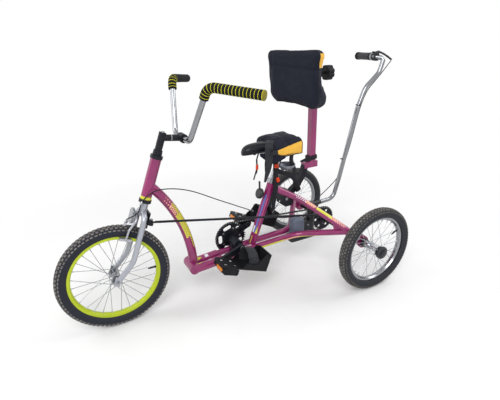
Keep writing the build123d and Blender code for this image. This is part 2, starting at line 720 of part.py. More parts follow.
def seat_clamp():
    """Clamp ring with an arm back to a round bowl that carries the belts."""
    ring = rod(seat_line(0), seat_line(20), SEAT_TUBE_R + 2)
    centre = Vector(270, 0, 572)
    quarter = Pos(0, 0) * Ellipse(42.0, 28.0) & Pos(30, -20) * Rectangle(60, 40)
    hollow = Pos(0, 0) * Ellipse(39.0, 25.0) & Pos(30, -20) * Rectangle(60, 40)
    bowl = Pos(*centre) * revolve(Plane.XZ * (quarter - hollow), axis=Axis.Z)
    arm = rod(seat_line(10), centre + Vector(20, 0, -24), 7.0)
    inside = Pos(*centre) * revolve(Plane.XZ * hollow, axis=Axis.Z)
    return ring.fuse(bowl, arm) - inside - seat_post()


SADDLE_SECTIONS = [
    (503.0, 9.0, 11.0, -12.0), (484.0, 24.0, 21.0, -4.0), (440.0, 32.0, 25.0, 0.0),
    (380.0, 48.0, 25.0, 0.0), (315.0, 76.0, 25.0, 0.0), (268.0, 82.0, 24.0, 0.0),
    (244.0, 60.0, 16.0, 0.0),
]


def saddle():
    """Saddle lofted through oval sections from the nose to the rear."""
    centre = SADDLE_TOP - 27.0
    sections = []
    for x, half_w, half_h, drop in SADDLE_SECTIONS:
        place = Plane(origin=(x, 0, centre + drop), x_dir=(0, 1, 0), z_dir=(1, 0, 0))
        sections.append(place * Ellipse(half_w, half_h))
    return loft(sections) - seat_post()


def seat_cushion():
    """Padded cover over the wide rear of the saddle, rounded along its upper edges."""
    height = CUSHION_TOP - CUSHION_LOW
    section = Rectangle(2 * CUSHION_HALF, height)
    section = fillet(section.vertices().group_by(Axis.Y)[-1], 32.0)
    middle = (CUSHION_TOP + CUSHION_LOW) / 2
    face = Plane(origin=(CUSHION_REAR, 0, middle), x_dir=(0, 1, 0), z_dir=(1, 0, 0))
    body = extrude(face * section, CUSHION_FRONT - CUSHION_REAR)
    return body - saddle() - seat_post()


# ---------------------------------------------------------------- backrest
PAD_PLACE = Pos(*PAD_CENTRE) * Rot(0, 0, PAD_TURN)


def backrest_pad():
    """Padded board: flat front, back swelling above and below a waist."""
    half_h = PAD_HEIGHT / 2
    front = PAD_HALF_T
    side_view = make_face([
        Line((front, half_h), (front, -half_h)), Line((front, -half_h), (-10, -half_h)),
        Spline((-10, -half_h), (-36, -half_h + 26), (-30, -half_h + 60), (6, 8), (-12, half_h - 22),
               (-8, half_h)),
        Line((-8, half_h), (front, half_h)),
    ])
    board = extrude(Plane.XZ * side_view, PAD_WIDTH / 2, both=True)
    outline = Rectangle(PAD_WIDTH, PAD_HEIGHT)
    outline = fillet(outline.vertices().group_by(Axis.Y)[-1], 28.0)
    outline = fillet(outline.vertices().group_by(Axis.Y)[0], 52.0)
    column = extrude(Plane.YZ * outline, 2 * PAD_HEIGHT, both=True)
    return PAD_PLACE * (board & column)


HOLDER_Z = PAD_CENTRE[2] + 8.0


def backrest_post():
    """Square post with a short foot turned forward."""
    half = POST_SIDE / 2
    post = block((POST_X - half, -half, POST_FOOT_Z - half), (POST_X + half, half, HOLDER_Z + 34))
    foot = block((POST_X - half - 14, -half, POST_FOOT_Z - half), (POST_X + 48, half, POST_FOOT_Z + half))
    return post.fuse(foot)


CLAMP_LOW = Vector(252, -34, 370)
CLAMP_HIGH = Vector(304, 34, 440)


def backrest_bar():
    """Square bar from a clamp block between the stays up and back to the post's foot."""
    path = [(292, 0, 396), (214, 0, 452), (180, 0, 500), (164, 0, POST_FOOT_Z)]
    bar = bent_strip(path, [40.0, 40.0], 26, 26)
    clamp = block(CLAMP_LOW, CLAMP_HIGH)
    clamp = fillet(clamp.edges().filter_by(Axis.Y), 12.0)
    return bar.fuse(clamp) - backrest_post() - upper_stay() - mirrored(upper_stay())


def backrest_holder():
    """Sleeve on the post with an arm and a plate behind the padded board."""
    z = HOLDER_Z
    half = POST_SIDE / 2
    sleeve = block((POST_X - half - 9, -half - 9, z - 24), (POST_X + half + 9, half + 9, z + 24))
    arm = rod((POST_X + half + 5, 0, z), (PAD_CENTRE[0] + 10, 0, z), 12.0)
    hole = block((POST_X - half, -half, z - 80), (POST_X + half, half, z + 80))
    return sleeve.fuse(arm) - hole - backrest_pad()


def backrest_knob():
    """Round hand knob with scalloped rim on its stud behind the post."""
    stud_end = POST_X - POST_SIDE / 2 - 9
    stud = rod((stud_end, 0, HOLDER_Z), (62, 0, HOLDER_Z), 6.0)
    scallops = PolarLocations(KNOB_R + 3, 8) * Circle(7.0)
    face = Plane(origin=(36, 0, HOLDER_Z), x_dir=(0, 1, 0), z_dir=(1, 0, 0))
    return stud.fuse(extrude(face * (Circle(KNOB_R) - scallops), 30.0))


# ---------------------------------------------------------------- push handle
def pivot_block():
    """Gear housing clamped over the low beams, with the bearing upright behind it."""
    base = block((PIVOT_X - 28, -30, PIVOT_LOW), (254, 30, PIVOT_DECK))
    base = fillet(base.edges().filter_by(Axis.Z), 10.0)
    housing = block((172, -26, PIVOT_DECK), (238, 26, 276))
    housing = fillet(housing.edges().filter_by(Axis.Z), 10.0)
    top_front = housing.faces().sort_by(Axis.Z)[-1].edges().filter_by(Axis.Y).sort_by(Axis.X)[-1]
    housing = fillet(top_front, 18.0)
    web = block((PIVOT_X, -18, PIVOT_DECK), (176, 18, 250))
    upright = rod((PIVOT_X, 0, PIVOT_DECK), (PIVOT_X, 0, PIVOT_HIGH), 20.0)
    bore = rod((PIVOT_X, 0, PIVOT_LOW + 26), (PIVOT_X, 0, PIVOT_HIGH + 10), SPIGOT_R + RUNNING_GAP)
    body = base.fuse(housing, web, upright) - bore
    return body - lower_tube() - mirrored(lower_tube())


PUSH_PATH = [
    (PIVOT_X, 0.0, 328.0), (-22.0, 0.0, 334.0), (-56.0, 0.0, 440.0), (-146.0, 0.0, 790.0),
    (-186.0, 0.0, 884.0), (-268.0, 0.0, 948.0), (-292.0, 0.0, 1014.0), (-262.0, -40.0, 1023.0),
    (-262.0, -150.0, 1023.0),
]
PUSH_BENDS = [46.0, 300.0, 200.0, 100.0, 60.0, 14.0, 24.0]
REAR_EYE = Vector(PIVOT_X - ARM_BACK, ARM_SIDE, PIVOT_HIGH + SEAT_GAP + ARM_T + ROD_PLAY + EYE_H / 2)


def push_handle():
    """Bent tube on a spigot, with its steering arm and a rubber grip at the top."""
    tube = bent_bar(PUSH_PATH, PUSH_BENDS, PUSH_TUBE_R)
    end = Vector(*PUSH_PATH[-1])
    sleeve = rod(end - Vector(0, 4, 0), end + Vector(0, 96, 0), PUSH_GRIP_R)
    spigot = rod((PIVOT_X, 0, PIVOT_LOW + 30), (PIVOT_X, 0, 330), SPIGOT_R)
    collar = rod((PIVOT_X, 0, PIVOT_HIGH + SEAT_GAP), (PIVOT_X, 0, 342), 17.0)
    reach = make_hull([
        *Circle(17.0).edges(), *(Pos(-ARM_BACK, ARM_SIDE) * Circle(11.0)).edges(),
    ])
    arm = Pos(PIVOT_X, 0, PIVOT_HIGH + SEAT_GAP) * extrude(reach, ARM_T)
    pin_top = REAR_EYE + Vector(0, 0, EYE_H / 2 + ROD_PLAY)
    pin = rod(REAR_EYE - Vector(0, 0, 12), pin_top + Vector(0, 0, 5), ARM_PIN_R)
    head = rod(pin_top, pin_top + Vector(0, 0, 5), 8.0)
    return tube.fuse(sleeve, spigot, collar, arm, pin, head)


def brake_lever():
    """Band and perch beside the grip with an arched lever reaching back."""
    x, _, z = PUSH_PATH[-1]
    band = rod((x, -52, z), (x, -40, z), 18.5)
    perch = block((x - 22, -40, z - 20), (x + 6, -24, z + 16))
    perch = fillet(perch.edges().filter_by(Axis.Y), 6.0)
    arch = [(x - 2, -30, z + 8), (x - 14, -26, z + 24), (x - 44, -14, z + 10), (x - 84, -4, z - 16)]
    lever = bent_strip(arch, [12.0, 30.0], 16, 8)
    return band.fuse(perch, lever) - push_handle()


def steering_rod():
    """Rod between the fork's arm and the push handle's arm, with an eye at each end."""
    upright = Vector(0, 0, 1)
    front_eye = rod(FRONT_EYE - ROD_AXIS * EYE_H / 2, FRONT_EYE + ROD_AXIS * EYE_H / 2, EYE_R)
    rear_eye = rod(REAR_EYE - upright * EYE_H / 2, REAR_EYE + upright * EYE_H / 2, EYE_R)
    bar = rod(FRONT_EYE, REAR_EYE, ROD_R)
    front_room = rod(FRONT_EYE - ROD_AXIS * EYE_H * 2, FRONT_EYE - ROD_AXIS * EYE_H / 2, EYE_R + 8)
    front_room += rod(FRONT_EYE + ROD_AXIS * EYE_H / 2, FRONT_EYE + ROD_AXIS * EYE_H * 2, EYE_R + 8)
    rear_room = rod(REAR_EYE - upright * EYE_H * 2, REAR_EYE - upright * EYE_H / 2, EYE_R + 8)
    rear_room += rod(REAR_EYE + upright * EYE_H / 2, REAR_EYE + upright * EYE_H * 2, EYE_R + 8)
    front_hole = rod(FRONT_EYE - ROD_AXIS * 20, FRONT_EYE + ROD_AXIS * 20, ARM_PIN_R + RUNNING_GAP)
    rear_hole = rod(REAR_EYE - upright * 20, REAR_EYE + upright * 20, ARM_PIN_R + ROD_PLAY)
    return bar.fuse(front_eye, rear_eye) - front_room - rear_room - front_hole - rear_hole


# ---------------------------------------------------------------- brake cable
HANDLE_CABLE = [
    (-346, -4, 1001), (-318, -2, 976), (-282, 0, 942), (-243, 0, 908), (-206, 0, 876),
    (-185, 0, 842), (-167, -1, 798), (-153, -3, 742), (-140, -4, 684), (-125, -4, 627),
    (-109, -4, 570), (-92, -6, 514), (-75, -10, 464), (-54, -17, 428), (-22, -18, 402),
    (14, -20, 375), (48, -24, 350), (77, -28, 332), (95, -29, 321),
    (102, -29, 310), (102, -29, 296.3),
]
FRAME_CABLE = [
    (102, -29, 296), (102, -29, 281), (113, -30, 267), (134, -32, 261), (170, -33, 263),
    (214, -33, 268), (264, -30, 277), (314, -28, 292), (362, -26, 312), (408, -25, 338), (446, -22, 362),
    (486, -16, 386), (528, -10, 410), (572, -5, 436), (620, 0, 463), (668, 6, 492),
    (715, 12, 521), (766, 20, 549), (822, 26, 570), (876, 31, 581), (916, 33, 580),
]


def cable_end(route, *more):
    """A route by hand with its last points given on the steering axis."""
    return [Vector(*point) for point in route] + [on_steering(*point) for point in more]


def brake_cable_handle():
    """Cable from the push handle's lever down behind its tube."""
    return cable("cable on handle", [Vector(*point) for point in HANDLE_CABLE])


def brake_cable_frame():
    """Cable past the pivot, under the saddle and along to the head tube's side."""
    route = cable_end(FRAME_CABLE, (10, 31, 368), (19, 27, 348), (20, 26, 332))
    return cable("cable on frame", route)


def brake_cable_fork():
    """Cable from the head tube's foot, past the reflector to the brake's arm."""
    route = cable_end([], (20, 26, 331.7), (21, 27, 316), (26, 31, 300), (39, 34, 286),
                      (54, 31, 274), (63, 25, 264), (63, 25, PAD_T + 71))
    return cable("cable on fork", route)


# ---------------------------------------------------------------- the whole machine
def all_nodes():
    nodes = {}
    nodes.update(front_wheel())
    nodes.update(rear_wheel(1, "left"))
    nodes.update(rear_wheel(-1, "right"))
    nodes["headset_lower_cup"], nodes["headset_upper_cup"] = headset()
    nodes["fork"] = fork()
    nodes["front_axle"] = front_axle()
    nodes["stem"] = stem()
    nodes["handlebar"] = handlebar()
    nodes["grip_left"] = grip()
    nodes["grip_right"] = mirrored(grip())
    nodes["steering_arm"] = steering_arm()
    nodes["front_brake"] = front_brake()
    nodes["front_reflector"] = front_reflector()
    nodes["head_tube"] = head_tube()
    nodes["down_tube"] = down_tube()
    nodes["cross_tube"] = cross_tube()
    nodes["lower_tube_left"] = lower_tube()
    nodes["lower_tube_right"] = mirrored(lower_tube())
    nodes["seat_tube"] = seat_tube()
    nodes["bottom_bracket"] = bottom_bracket()
    nodes["upper_stay_left"] = upper_stay()
    nodes["upper_stay_right"] = mirrored(upper_stay())
    nodes["hub_carrier_left"] = hub_carrier(1)
    nodes["hub_carrier_right"] = hub_carrier(-1)
    nodes["rear_axle"] = rear_axle()
    nodes["drive_sprocket"] = drive_sprocket()
    nodes["chain"] = chain()
    nodes["chainring"] = chainring()
    nodes["crank_spindle"] = crank_spindle()
    for side, name in ((1, "left"), (-1, "right")):
        nodes["crank_arm_" + name] = crank_arm(side)
        nodes["pedal_body_" + name] = pedal_body(side)
        nodes["foot_plate_" + name] = foot_plate(side)
        nodes["foot_strap_" + name] = foot_strap(side)
    nodes["seat_post"] = seat_post()
    nodes["seat_clamp"] = seat_clamp()
    nodes["saddle"] = saddle()
    nodes["seat_cushion"] = seat_cushion()
    nodes["backrest_post"] = backrest_post()
    nodes["backrest_bar"] = backrest_bar()
    nodes["backrest_holder"] = backrest_holder()
    nodes["backrest_knob"] = backrest_knob()
    nodes["backrest_pad"] = backrest_pad()
    nodes["pivot_block"] = pivot_block()
    nodes["push_handle"] = push_handle()
    nodes["brake_lever"] = brake_lever()
    nodes["steering_rod"] = steering_rod()
    nodes["brake_cable_handle"] = brake_cable_handle()
    nodes["brake_cable_frame"] = brake_cable_frame()
    nodes["brake_cable_fork"] = brake_cable_fork()
    return nodes


def main():
    os.makedirs("parts", exist_ok=True)
    nodes = all_nodes()
    boxes = [shape.bounding_box() for shape in nodes.values()]
    low = min(box.min.X for box in boxes)
    high = max(box.max.X for box in boxes)
    middle = (low + high) / 2
    print("moved along X by", -middle)
    for name, shape in nodes.items():
        export_step(Pos(-middle, 0, 0) * shape, os.path.join("parts", name + ".step"))


main()
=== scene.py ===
# %% [markdown]
# A child's three-wheeled rehabilitation cycle: painted tubes, spoked wheels, a padded
# saddle and backrest, pedals with foot plates and a push handle that also steers.
# The CAD model comes in first as a fixed frame. Everything else is added around it.

# %% Load the frame
import math
import bmesh
import bpy
import numpy as np
from mathutils import Matrix, Vector
from mathutils.bvhtree import BVHTree


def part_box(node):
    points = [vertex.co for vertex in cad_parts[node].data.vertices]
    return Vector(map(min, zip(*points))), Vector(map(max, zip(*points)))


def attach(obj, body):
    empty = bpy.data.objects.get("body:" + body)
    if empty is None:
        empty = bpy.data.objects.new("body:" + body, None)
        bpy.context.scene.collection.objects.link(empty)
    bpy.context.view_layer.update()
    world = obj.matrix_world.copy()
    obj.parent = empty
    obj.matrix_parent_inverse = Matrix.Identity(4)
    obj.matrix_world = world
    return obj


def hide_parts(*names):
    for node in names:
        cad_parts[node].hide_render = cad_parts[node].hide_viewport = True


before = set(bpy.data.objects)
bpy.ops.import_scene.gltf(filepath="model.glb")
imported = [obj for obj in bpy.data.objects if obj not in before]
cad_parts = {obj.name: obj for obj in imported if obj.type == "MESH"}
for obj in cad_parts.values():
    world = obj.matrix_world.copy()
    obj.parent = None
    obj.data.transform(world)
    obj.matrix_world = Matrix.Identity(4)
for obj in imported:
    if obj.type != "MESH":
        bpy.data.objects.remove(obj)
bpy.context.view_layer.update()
MM = 0.001
axle_low, axle_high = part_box("rear_axle")
AXLE_X = (axle_low[0] + axle_high[0]) / 2
print("CAD nodes", len(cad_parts), "rear axle at X", round(AXLE_X, 4))


# %% [markdown]
# Sizes below are millimetres ahead of the rear axle, to the rider's left and up from
# the ground, because that is how such a machine is measured. One function turns them
# into metres in the model's own frame. A second one does so for the tilted steering axis.

# %% Places
def at(x, y, z):
    """Millimetres from the ground under the rear axle, as a point in metres."""
    return np.array([AXLE_X + x * MM, y * MM, z * MM])


def x_at(x):
    """The X of a place given in millimetres ahead of the rear axle, in metres."""
    return float(AXLE_X + x * MM)


def unit(vectors):
    """Each vector divided by its own length."""
    vectors = np.asarray(vectors, float)
    return vectors / np.linalg.norm(vectors, axis=-1, keepdims=True)


def lengths(path):
    """How far along the path each of its points lies."""
    return np.r_[0, np.cumsum(np.linalg.norm(np.diff(path, axis=0), axis=1))]


def sample(want, along, rows):
    """The rows at the wanted distances, each column by straight interpolation."""
    return np.stack([np.interp(want, along, column) for column in rows.T], -1)


def circle(count):
    """The cosines and sines of angles spaced evenly round a turn."""
    a = np.linspace(0, 2 * np.pi, count, endpoint=False)
    return np.cos(a), np.sin(a)


HEAD_SLOPE = math.radians(21.5)
UP = np.array([-math.sin(HEAD_SLOPE), 0.0, math.cos(HEAD_SLOPE)])
AHEAD = np.array([math.cos(HEAD_SLOPE), 0.0, math.sin(HEAD_SLOPE)])
STEER_FOOT = np.array([1071.853, 0.0, 214.974])
STEM_TOP = 628.0
SEAT_TUBE = [at(468, 0, 202), at(355, 0, 494)]


def on_steering(x, y, t):
    """Millimetres ahead of, beside and up the steering axis, as a point in metres."""
    return at(*(STEER_FOOT + AHEAD * x + np.array([0.0, y, 0.0]) + UP * t))


def smooth_path(points, radii, step=4.0):
    """Runs joined by tangent arcs: each corner is cut back by radius times tan(half turn),
    and the arc turns the unit run into the next one. Points in metres, radii and step in mm."""
    points = [np.array(p, float) for p in points]
    out = [points[0]]
    for before, here, after, radius in zip(points, points[1:], points[2:], radii):
        run_in, run_out = unit(here - before), unit(after - here)
        turn = math.acos(float(np.clip(run_in @ run_out, -1, 1)))
        if turn < 1e-3:
            out.append(here)
            continue
        cut = radius * MM * math.tan(turn / 2)
        start = here - run_in * cut
        side = unit(run_out - run_in * (run_in @ run_out))
        centre = start + side * radius * MM
        angles = np.linspace(0, turn, max(3, int(math.degrees(turn) / 4) + 2))
        out.extend(centre - side * radius * MM * math.cos(a) + run_in * radius * MM * math.sin(a) for a in angles)
    out.append(points[-1])
    out = np.array(out)
    along = lengths(out)
    count = max(2, int(along[-1] / (step * MM)) + 1)
    want = np.union1d(np.linspace(0, along[-1], count), along)
    want = want[np.r_[True, np.diff(want) > 1e-5]]
    return sample(want, along, out)


print("steering foot", np.round(on_steering(0, 0, 0), 4))


# %% [markdown]
# The camera comes before the pieces, so that each one can be judged as it is made. It is a
# plain perspective camera to the front left, looking a little down over the handlebar.

# %% Camera
YAW, PITCH, ROLL = math.radians(-117.6), math.radians(22.8), math.radians(-1.7)
look = Vector((math.cos(YAW) * math.cos(PITCH), math.sin(YAW) * math.cos(PITCH), -math.sin(PITCH)))
level = look.cross(Vector((0, 0, 1))).normalized()
above = level.cross(look)
right = level * math.cos(ROLL) + above * math.sin(ROLL)
top = above * math.cos(ROLL) - level * math.sin(ROLL)
camera_data = bpy.data.cameras.new("camera")
camera_data.sensor_width = 36.0
camera_data.lens = 392.1 / 500 * 36.0
camera_data.clip_end = 60.0
camera = bpy.data.objects.new("camera", camera_data)
bpy.context.collection.objects.link(camera)
facing = Matrix((right, top, -look)).transposed().to_4x4()
camera.matrix_world = Matrix.Translation(Vector(at(1246.8, 1485.9, 1136.8))) @ facing
bpy.context.scene.camera = camera
print("lens", round(camera_data.lens, 2), "mm")


# %% [markdown]
# A material is a small graph of nodes. Its sums are easier to read as sums, so one class
# wraps a socket and gives it the operators. Anything that isn't a sum goes through one
# method that takes the node's type, its settings and its inputs.

# %% Shader sums
class Flow:
    """A value on its way through a material's nodes."""

    def __init__(self, graph, socket):
        self.graph, self.socket = graph, socket

    def _sum(self, operation, a, b=0.0, c=0.0):
        return self.graph.node("ShaderNodeMath", {"operation": operation}, {0: a, 1: b, 2: c})

    def __add__(self, other): return self._sum("ADD", self, other)
    def __radd__(self, other): return self._sum("ADD", other, self)
    def __sub__(self, other): return self._sum("SUBTRACT", self, other)
    def __rsub__(self, other): return self._sum("SUBTRACT", other, self)
    def __mul__(self, other): return self._sum("MULTIPLY", self, other)
    def __rmul__(self, other): return self._sum("MULTIPLY", other, self)
    def __lt__(self, other): return self._sum("LESS_THAN", self, other)
    def __gt__(self, other): return self._sum("GREATER_THAN", self, other)
    def size(self): return self._sum("ABSOLUTE", self)
    def wave(self): return self._sum("SINE", self)
    def root(self): return self._sum("SQRT", self)
    def most(self, other): return self._sum("MAXIMUM", self, other)


class Graph:
    """The nodes of one material or of the world, with the few kinds that are used here."""

    def __init__(self, tree):
        self.tree = tree
        self.place = self.node("ShaderNodeTexCoord", {}, {}, "Object")

    def feed(self, socket, value):
        if isinstance(value, Flow):
            self.tree.links.new(value.socket, socket)
        elif value is not None:
            socket.default_value = value

    def node(self, kind, settings, inputs, output=0):
        made = self.tree.nodes.new(kind)
        for key, value in settings.items():
            setattr(made, key, value)
        for key, value in inputs.items():
            self.feed(made.inputs[key], value)
        return Flow(self, made.outputs[output])

    def axes(self):
        outs = self.node("ShaderNodeSeparateXYZ", {}, {0: self.place}).socket.node.outputs
        return [Flow(self, outs[k]) for k in range(3)]

    def noise(self, scale, detail=3.0, roughness=0.55):
        return self.node("ShaderNodeTexNoise", {}, {"Vector": self.place, "Scale": scale, "Detail": detail,
                                                   "Roughness": roughness}, "Fac")

    def ramp(self, value, low, high):
        """The value stretched so that low becomes 0 and high becomes 1, and held there."""
        return self.node("ShaderNodeMapRange", {}, {"Value": value, "From Min": low, "From Max": high})

    def mix(self, share, a, b):
        made = self.tree.nodes.new("ShaderNodeMix")
        made.data_type = "RGBA"
        for key, value in (("Factor_Float", share), ("A_Color", a), ("B_Color", b)):
            self.feed(next(s for s in made.inputs if s.identifier == key), value)
        return Flow(self, next(s for s in made.outputs if s.identifier == "Result_Color"))


class Finish(Graph):
    """A material being built around one Principled shader."""

    def __init__(self, name, **fixed):
        self.material = bpy.data.materials.new(name)
        self.material.use_nodes = True
        super().__init__(self.material.node_tree)
        self.shader = next(n for n in self.tree.nodes if n.type == "BSDF_PRINCIPLED")
        for socket, value in fixed.items():
            self.put(socket.replace("_", " "), value)

    def put(self, socket, value):
        self.feed(self.shader.inputs[socket], value)

    def bump(self, height, distance, strength=1.0):
        self.put("Normal", self.node("ShaderNodeBump", {}, {"Height": height, "Distance": distance,
                                                           "Strength": strength}, "Normal"))

    def blend(self, share, first, second):
        """The surface shows the first shader where share is 0 and the second where it is 1."""
        mixer = self.tree.nodes.new("ShaderNodeMixShader")
        self.feed(mixer.inputs[0], share)
        self.tree.links.new(first.outputs[0], mixer.inputs[1])
        self.tree.links.new(second.outputs[0], mixer.inputs[2])
        output = next(n for n in self.tree.nodes if n.type == "OUTPUT_MATERIAL")
        self.tree.links.new(mixer.outputs[0], output.inputs["Surface"])


def tint(red, green, blue):
    """A colour given as it looks on a screen, 0 to 255, as linear light."""
    screen = np.array([red, green, blue]) / 255.0
    linear = np.where(screen <= 0.04045, screen / 12.92, ((screen + 0.055) / 1.055) ** 2.4)
    return (*[float(v) for v in linear], 1.0)


def shade(colour, factor):
    return (*[c * factor for c in colour[:3]], 1.0)


print("shader tools ready")


# %% [markdown]
# Sprayed and lacquered tube isn't one flat colour. Its lacquer has a faint orange-peel
# ripple, dust dulls it in patches and the tone drifts a little along the tube. The coat
# sits over the paint as a clear layer, so its gloss stays sharp over a softer base.

# %% Paints
def paint(name, colour, rough=0.32, coat=0.55, metallic=0.0, drift=0.16, shine=0.5):
    made = Finish(name, Coat_Roughness=0.08, Specular_IOR_Level=shine)
    patches = made.noise(9.0, 4.0)
    dust = made.ramp(made.noise(38.0, 5.0, 0.7), 0.52, 0.74)
    base = made.mix(made.ramp(patches, 0.35, 0.7), shade(colour, 1.0 - drift), shade(colour, 1.0 + drift))
    made.put("Base Color", made.mix(dust * 0.05, base, tint(150, 140, 132)))
    made.put("Roughness", rough + dust * 0.18 + (patches - 0.5) * 0.12)
    made.put("Coat Weight", coat - dust * 0.25)
    made.put("Metallic", metallic)
    made.bump(made.noise(900.0, 2.0), 0.00008, 0.5)
    return made


frame_purple = paint("frame_purple", tint(140, 28, 94), rough=0.30, coat=0.6, metallic=0.2)
fork_silver = paint("fork_silver", tint(166, 169, 178), rough=0.30, coat=0.5, metallic=0.5, drift=0.07)
cast_silver = paint("cast_silver", tint(176, 178, 184), rough=0.34, coat=0.2, metallic=0.6, drift=0.08)
rim_lime = paint("rim_lime", tint(178, 194, 0), rough=0.45, coat=0.12, drift=0.08)
satin_black = paint("satin_black", tint(18, 20, 29), rough=0.46, coat=0.03, drift=0.2, shine=0.22)
decal_lime, decal_peach, decal_blue, decal_pink, decal_white = (
    paint("decal_" + name, tint(*colour), rough=0.38, coat=0.4, drift=drift) for name, colour, drift in (
        ("lime", (208, 206, 40), 0.07), ("peach", (240, 176, 140), 0.06), ("blue", (88, 104, 182), 0.07),
        ("pink", (196, 92, 140), 0.07), ("white", (222, 220, 226), 0.04)))
print("paints", 10)


# %% [markdown]
# Bright metal shows its surroundings, so it needs only a little of its own: a fine drawn
# grain, a haze of finger marks and a few dull specks. Bolts and chain are duller, rougher
# steel, and the chain is darker.

# %% Metals
def bright_metal(name, colour, rough, haze=0.12, grain=0.00003):
    made = Finish(name, Metallic=1.0)
    marks = made.ramp(made.noise(26.0, 5.0, 0.65), 0.45, 0.75)
    made.put("Base Color", made.mix(marks * 0.5, colour, shade(colour, 0.78)))
    made.put("Roughness", rough + marks * haze)
    made.bump(made.noise(600.0, 2.0), grain, 0.4)
    return made


chrome = bright_metal("chrome", tint(150, 152, 156), 0.17, 0.05, 0.000008)
bolt_steel = bright_metal("bolt_steel", tint(170, 171, 176), 0.34, 0.2)
chain_steel = bright_metal("chain_steel", tint(84, 82, 84), 0.45, 0.25)
print("metals", 3)


# %% [markdown]
# The tyres have run on a dusty path. Dust stays on the tread and in the hollows, and the
# walls stay dark with moulded rings, so the colour is mixed by distance from the wheel's
# middle plane as well as by noise.

# %% Rubbers and plastics
def rubber(name, colour, dusty, mid_y, half_width):
    made = Finish(name, Specular_IOR_Level=0.22)
    _, across, _ = made.axes()
    inward = 1.0 - made.ramp((across - mid_y).size(), half_width * 0.35, half_width)
    blotch = made.ramp(made.noise(60.0, 6.0, 0.7), 0.38, 0.68)
    made.put("Base Color", made.mix(inward * blotch * dusty, colour, tint(150, 143, 134)))
    made.put("Roughness", 0.66 + blotch * 0.22)
    rings = ((across - mid_y) * (2 * math.pi / 0.0035)).wave() * 0.2
    made.bump(made.noise(420.0, 3.0) + rings, 0.0003, 0.6)
    return made


def plastic(name, colour, rough, grain=0.00012, scale=700.0, coat=0.0):
    made = Finish(name, Coat_Roughness=0.15, Specular_IOR_Level=0.2)
    wear = made.ramp(made.noise(30.0, 4.0, 0.7), 0.5, 0.78)
    made.put("Base Color", made.mix(wear * 0.25, colour, shade(colour, 1.6)))
    made.put("Roughness", rough + wear * 0.15)
    made.put("Coat Weight", coat)
    made.bump(made.noise(scale, 2.0), grain, 0.6)
    return made


tyre_front = rubber("tyre_front", tint(38, 40, 49), 0.12, 0.0, 0.024)
tyre_left = rubber("tyre_left", tint(44, 46, 52), 0.2, 0.341, 0.025)
tyre_right = rubber("tyre_right", tint(44, 46, 52), 0.2, -0.341, 0.025)
tread_front = rubber("tread_front", tint(92, 91, 92), 1.0, 0.0, 0.046)
tread_left = rubber("tread_left", tint(66, 65, 63), 0.8, 0.341, 0.034)
tread_right = rubber("tread_right", tint(66, 65, 63), 0.8, -0.341, 0.034)
foam_black = plastic("foam_black", tint(18, 19, 24), 0.85, 0.0006, 900.0)
gloss_black = plastic("gloss_black", tint(17, 19, 28), 0.38, 0.00010, 500.0, 0.18)
matte_black = plastic("matte_black", tint(16, 16, 20), 0.55, 0.0002, 800.0)
cable_black = plastic("cable_black", tint(30, 30, 34), 0.42, 0.00005, 900.0)
ring_yellow = plastic("ring_yellow", tint(222, 216, 36), 0.6, 0.0002, 900.0)
cap_olive = plastic("cap_olive", tint(128, 118, 40), 0.6, 0.0002, 900.0)
clip_red = plastic("clip_red", tint(206, 66, 34), 0.35, 0.00006, 600.0)
amber = plastic("amber", tint(226, 132, 34), 0.22, 0.0002, 400.0, 0.5)
print("rubbers and plastics", 14)


# %% [markdown]
# Woven cover cloth is two crossed sets of threads. Two sine waves across each other give
# the weave, a third slow noise gives the pull of the cloth over the foam. The same cloth
# in yellow faces the sides, so one material carries both, split by where the panel lies.

# %% Cloths
def woven(name, colour, pitch=0.0011, rough=0.82):
    made = Finish(name, Sheen_Weight=0.05, Sheen_Roughness=0.5, Specular_IOR_Level=0.2)
    x, y, z = made.axes()
    turn = 2 * math.pi / pitch
    weave = ((x + y) * turn).wave() * (z * turn).wave()
    worn = made.ramp(made.noise(22.0, 5.0, 0.65), 0.45, 0.75)
    lint = made.ramp(made.noise(260.0, 3.0), 0.58, 0.75)
    base = made.mix(made.ramp(weave, -0.6, 0.8), shade(colour, 0.72), shade(colour, 1.25))
    made.cloth = made.mix(worn * 0.16 + lint * 0.05, base, shade(colour, 2.2))
    made.put("Base Color", made.cloth)
    made.put("Roughness", rough - worn * 0.12)
    made.bump(weave * 0.6 + made.noise(120.0, 3.0) * 0.5, 0.00035, 0.7)
    return made


PANEL_YELLOW = tint(232, 178, 70)
webbing = woven("webbing", tint(24, 25, 31), 0.0016, 0.7)
strap_grey = woven("strap_grey", tint(44, 45, 50), 0.0018, 0.62)
cushion_cloth = woven("cushion_cloth", tint(25, 27, 40))
cx, cy, cz = cushion_cloth.axes()
ahead_of_back = cx - x_at(240)
panel = (cy.size() > 0.080) * (cz < 0.700 - ahead_of_back * 0.192) * (cz > 0.643) * (ahead_of_back < 0.136)
cushion_cloth.put("Base Color", cushion_cloth.mix(panel, cushion_cloth.cloth, PANEL_YELLOW))
back_cloth = woven("back_cloth", tint(20, 23, 37))
PAD_TURN = math.radians(20.0)
PAD_AT = at(225.0, 0.0, 962.0)
bx, by, bz = back_cloth.axes()
off_x, off_y = bx - float(PAD_AT[0]), by - float(PAD_AT[1])
across = off_y * math.cos(PAD_TURN) - off_x * math.sin(PAD_TURN)
through = off_x * math.cos(PAD_TURN) + off_y * math.sin(PAD_TURN)
gusset = (across.size() > 0.130) * (bz > 1.004) * (bz < 1.060) * (through < 0.020)
back_cloth.put("Base Color", back_cloth.mix(gusset, back_cloth.cloth, PANEL_YELLOW))
print("cloths", 4)
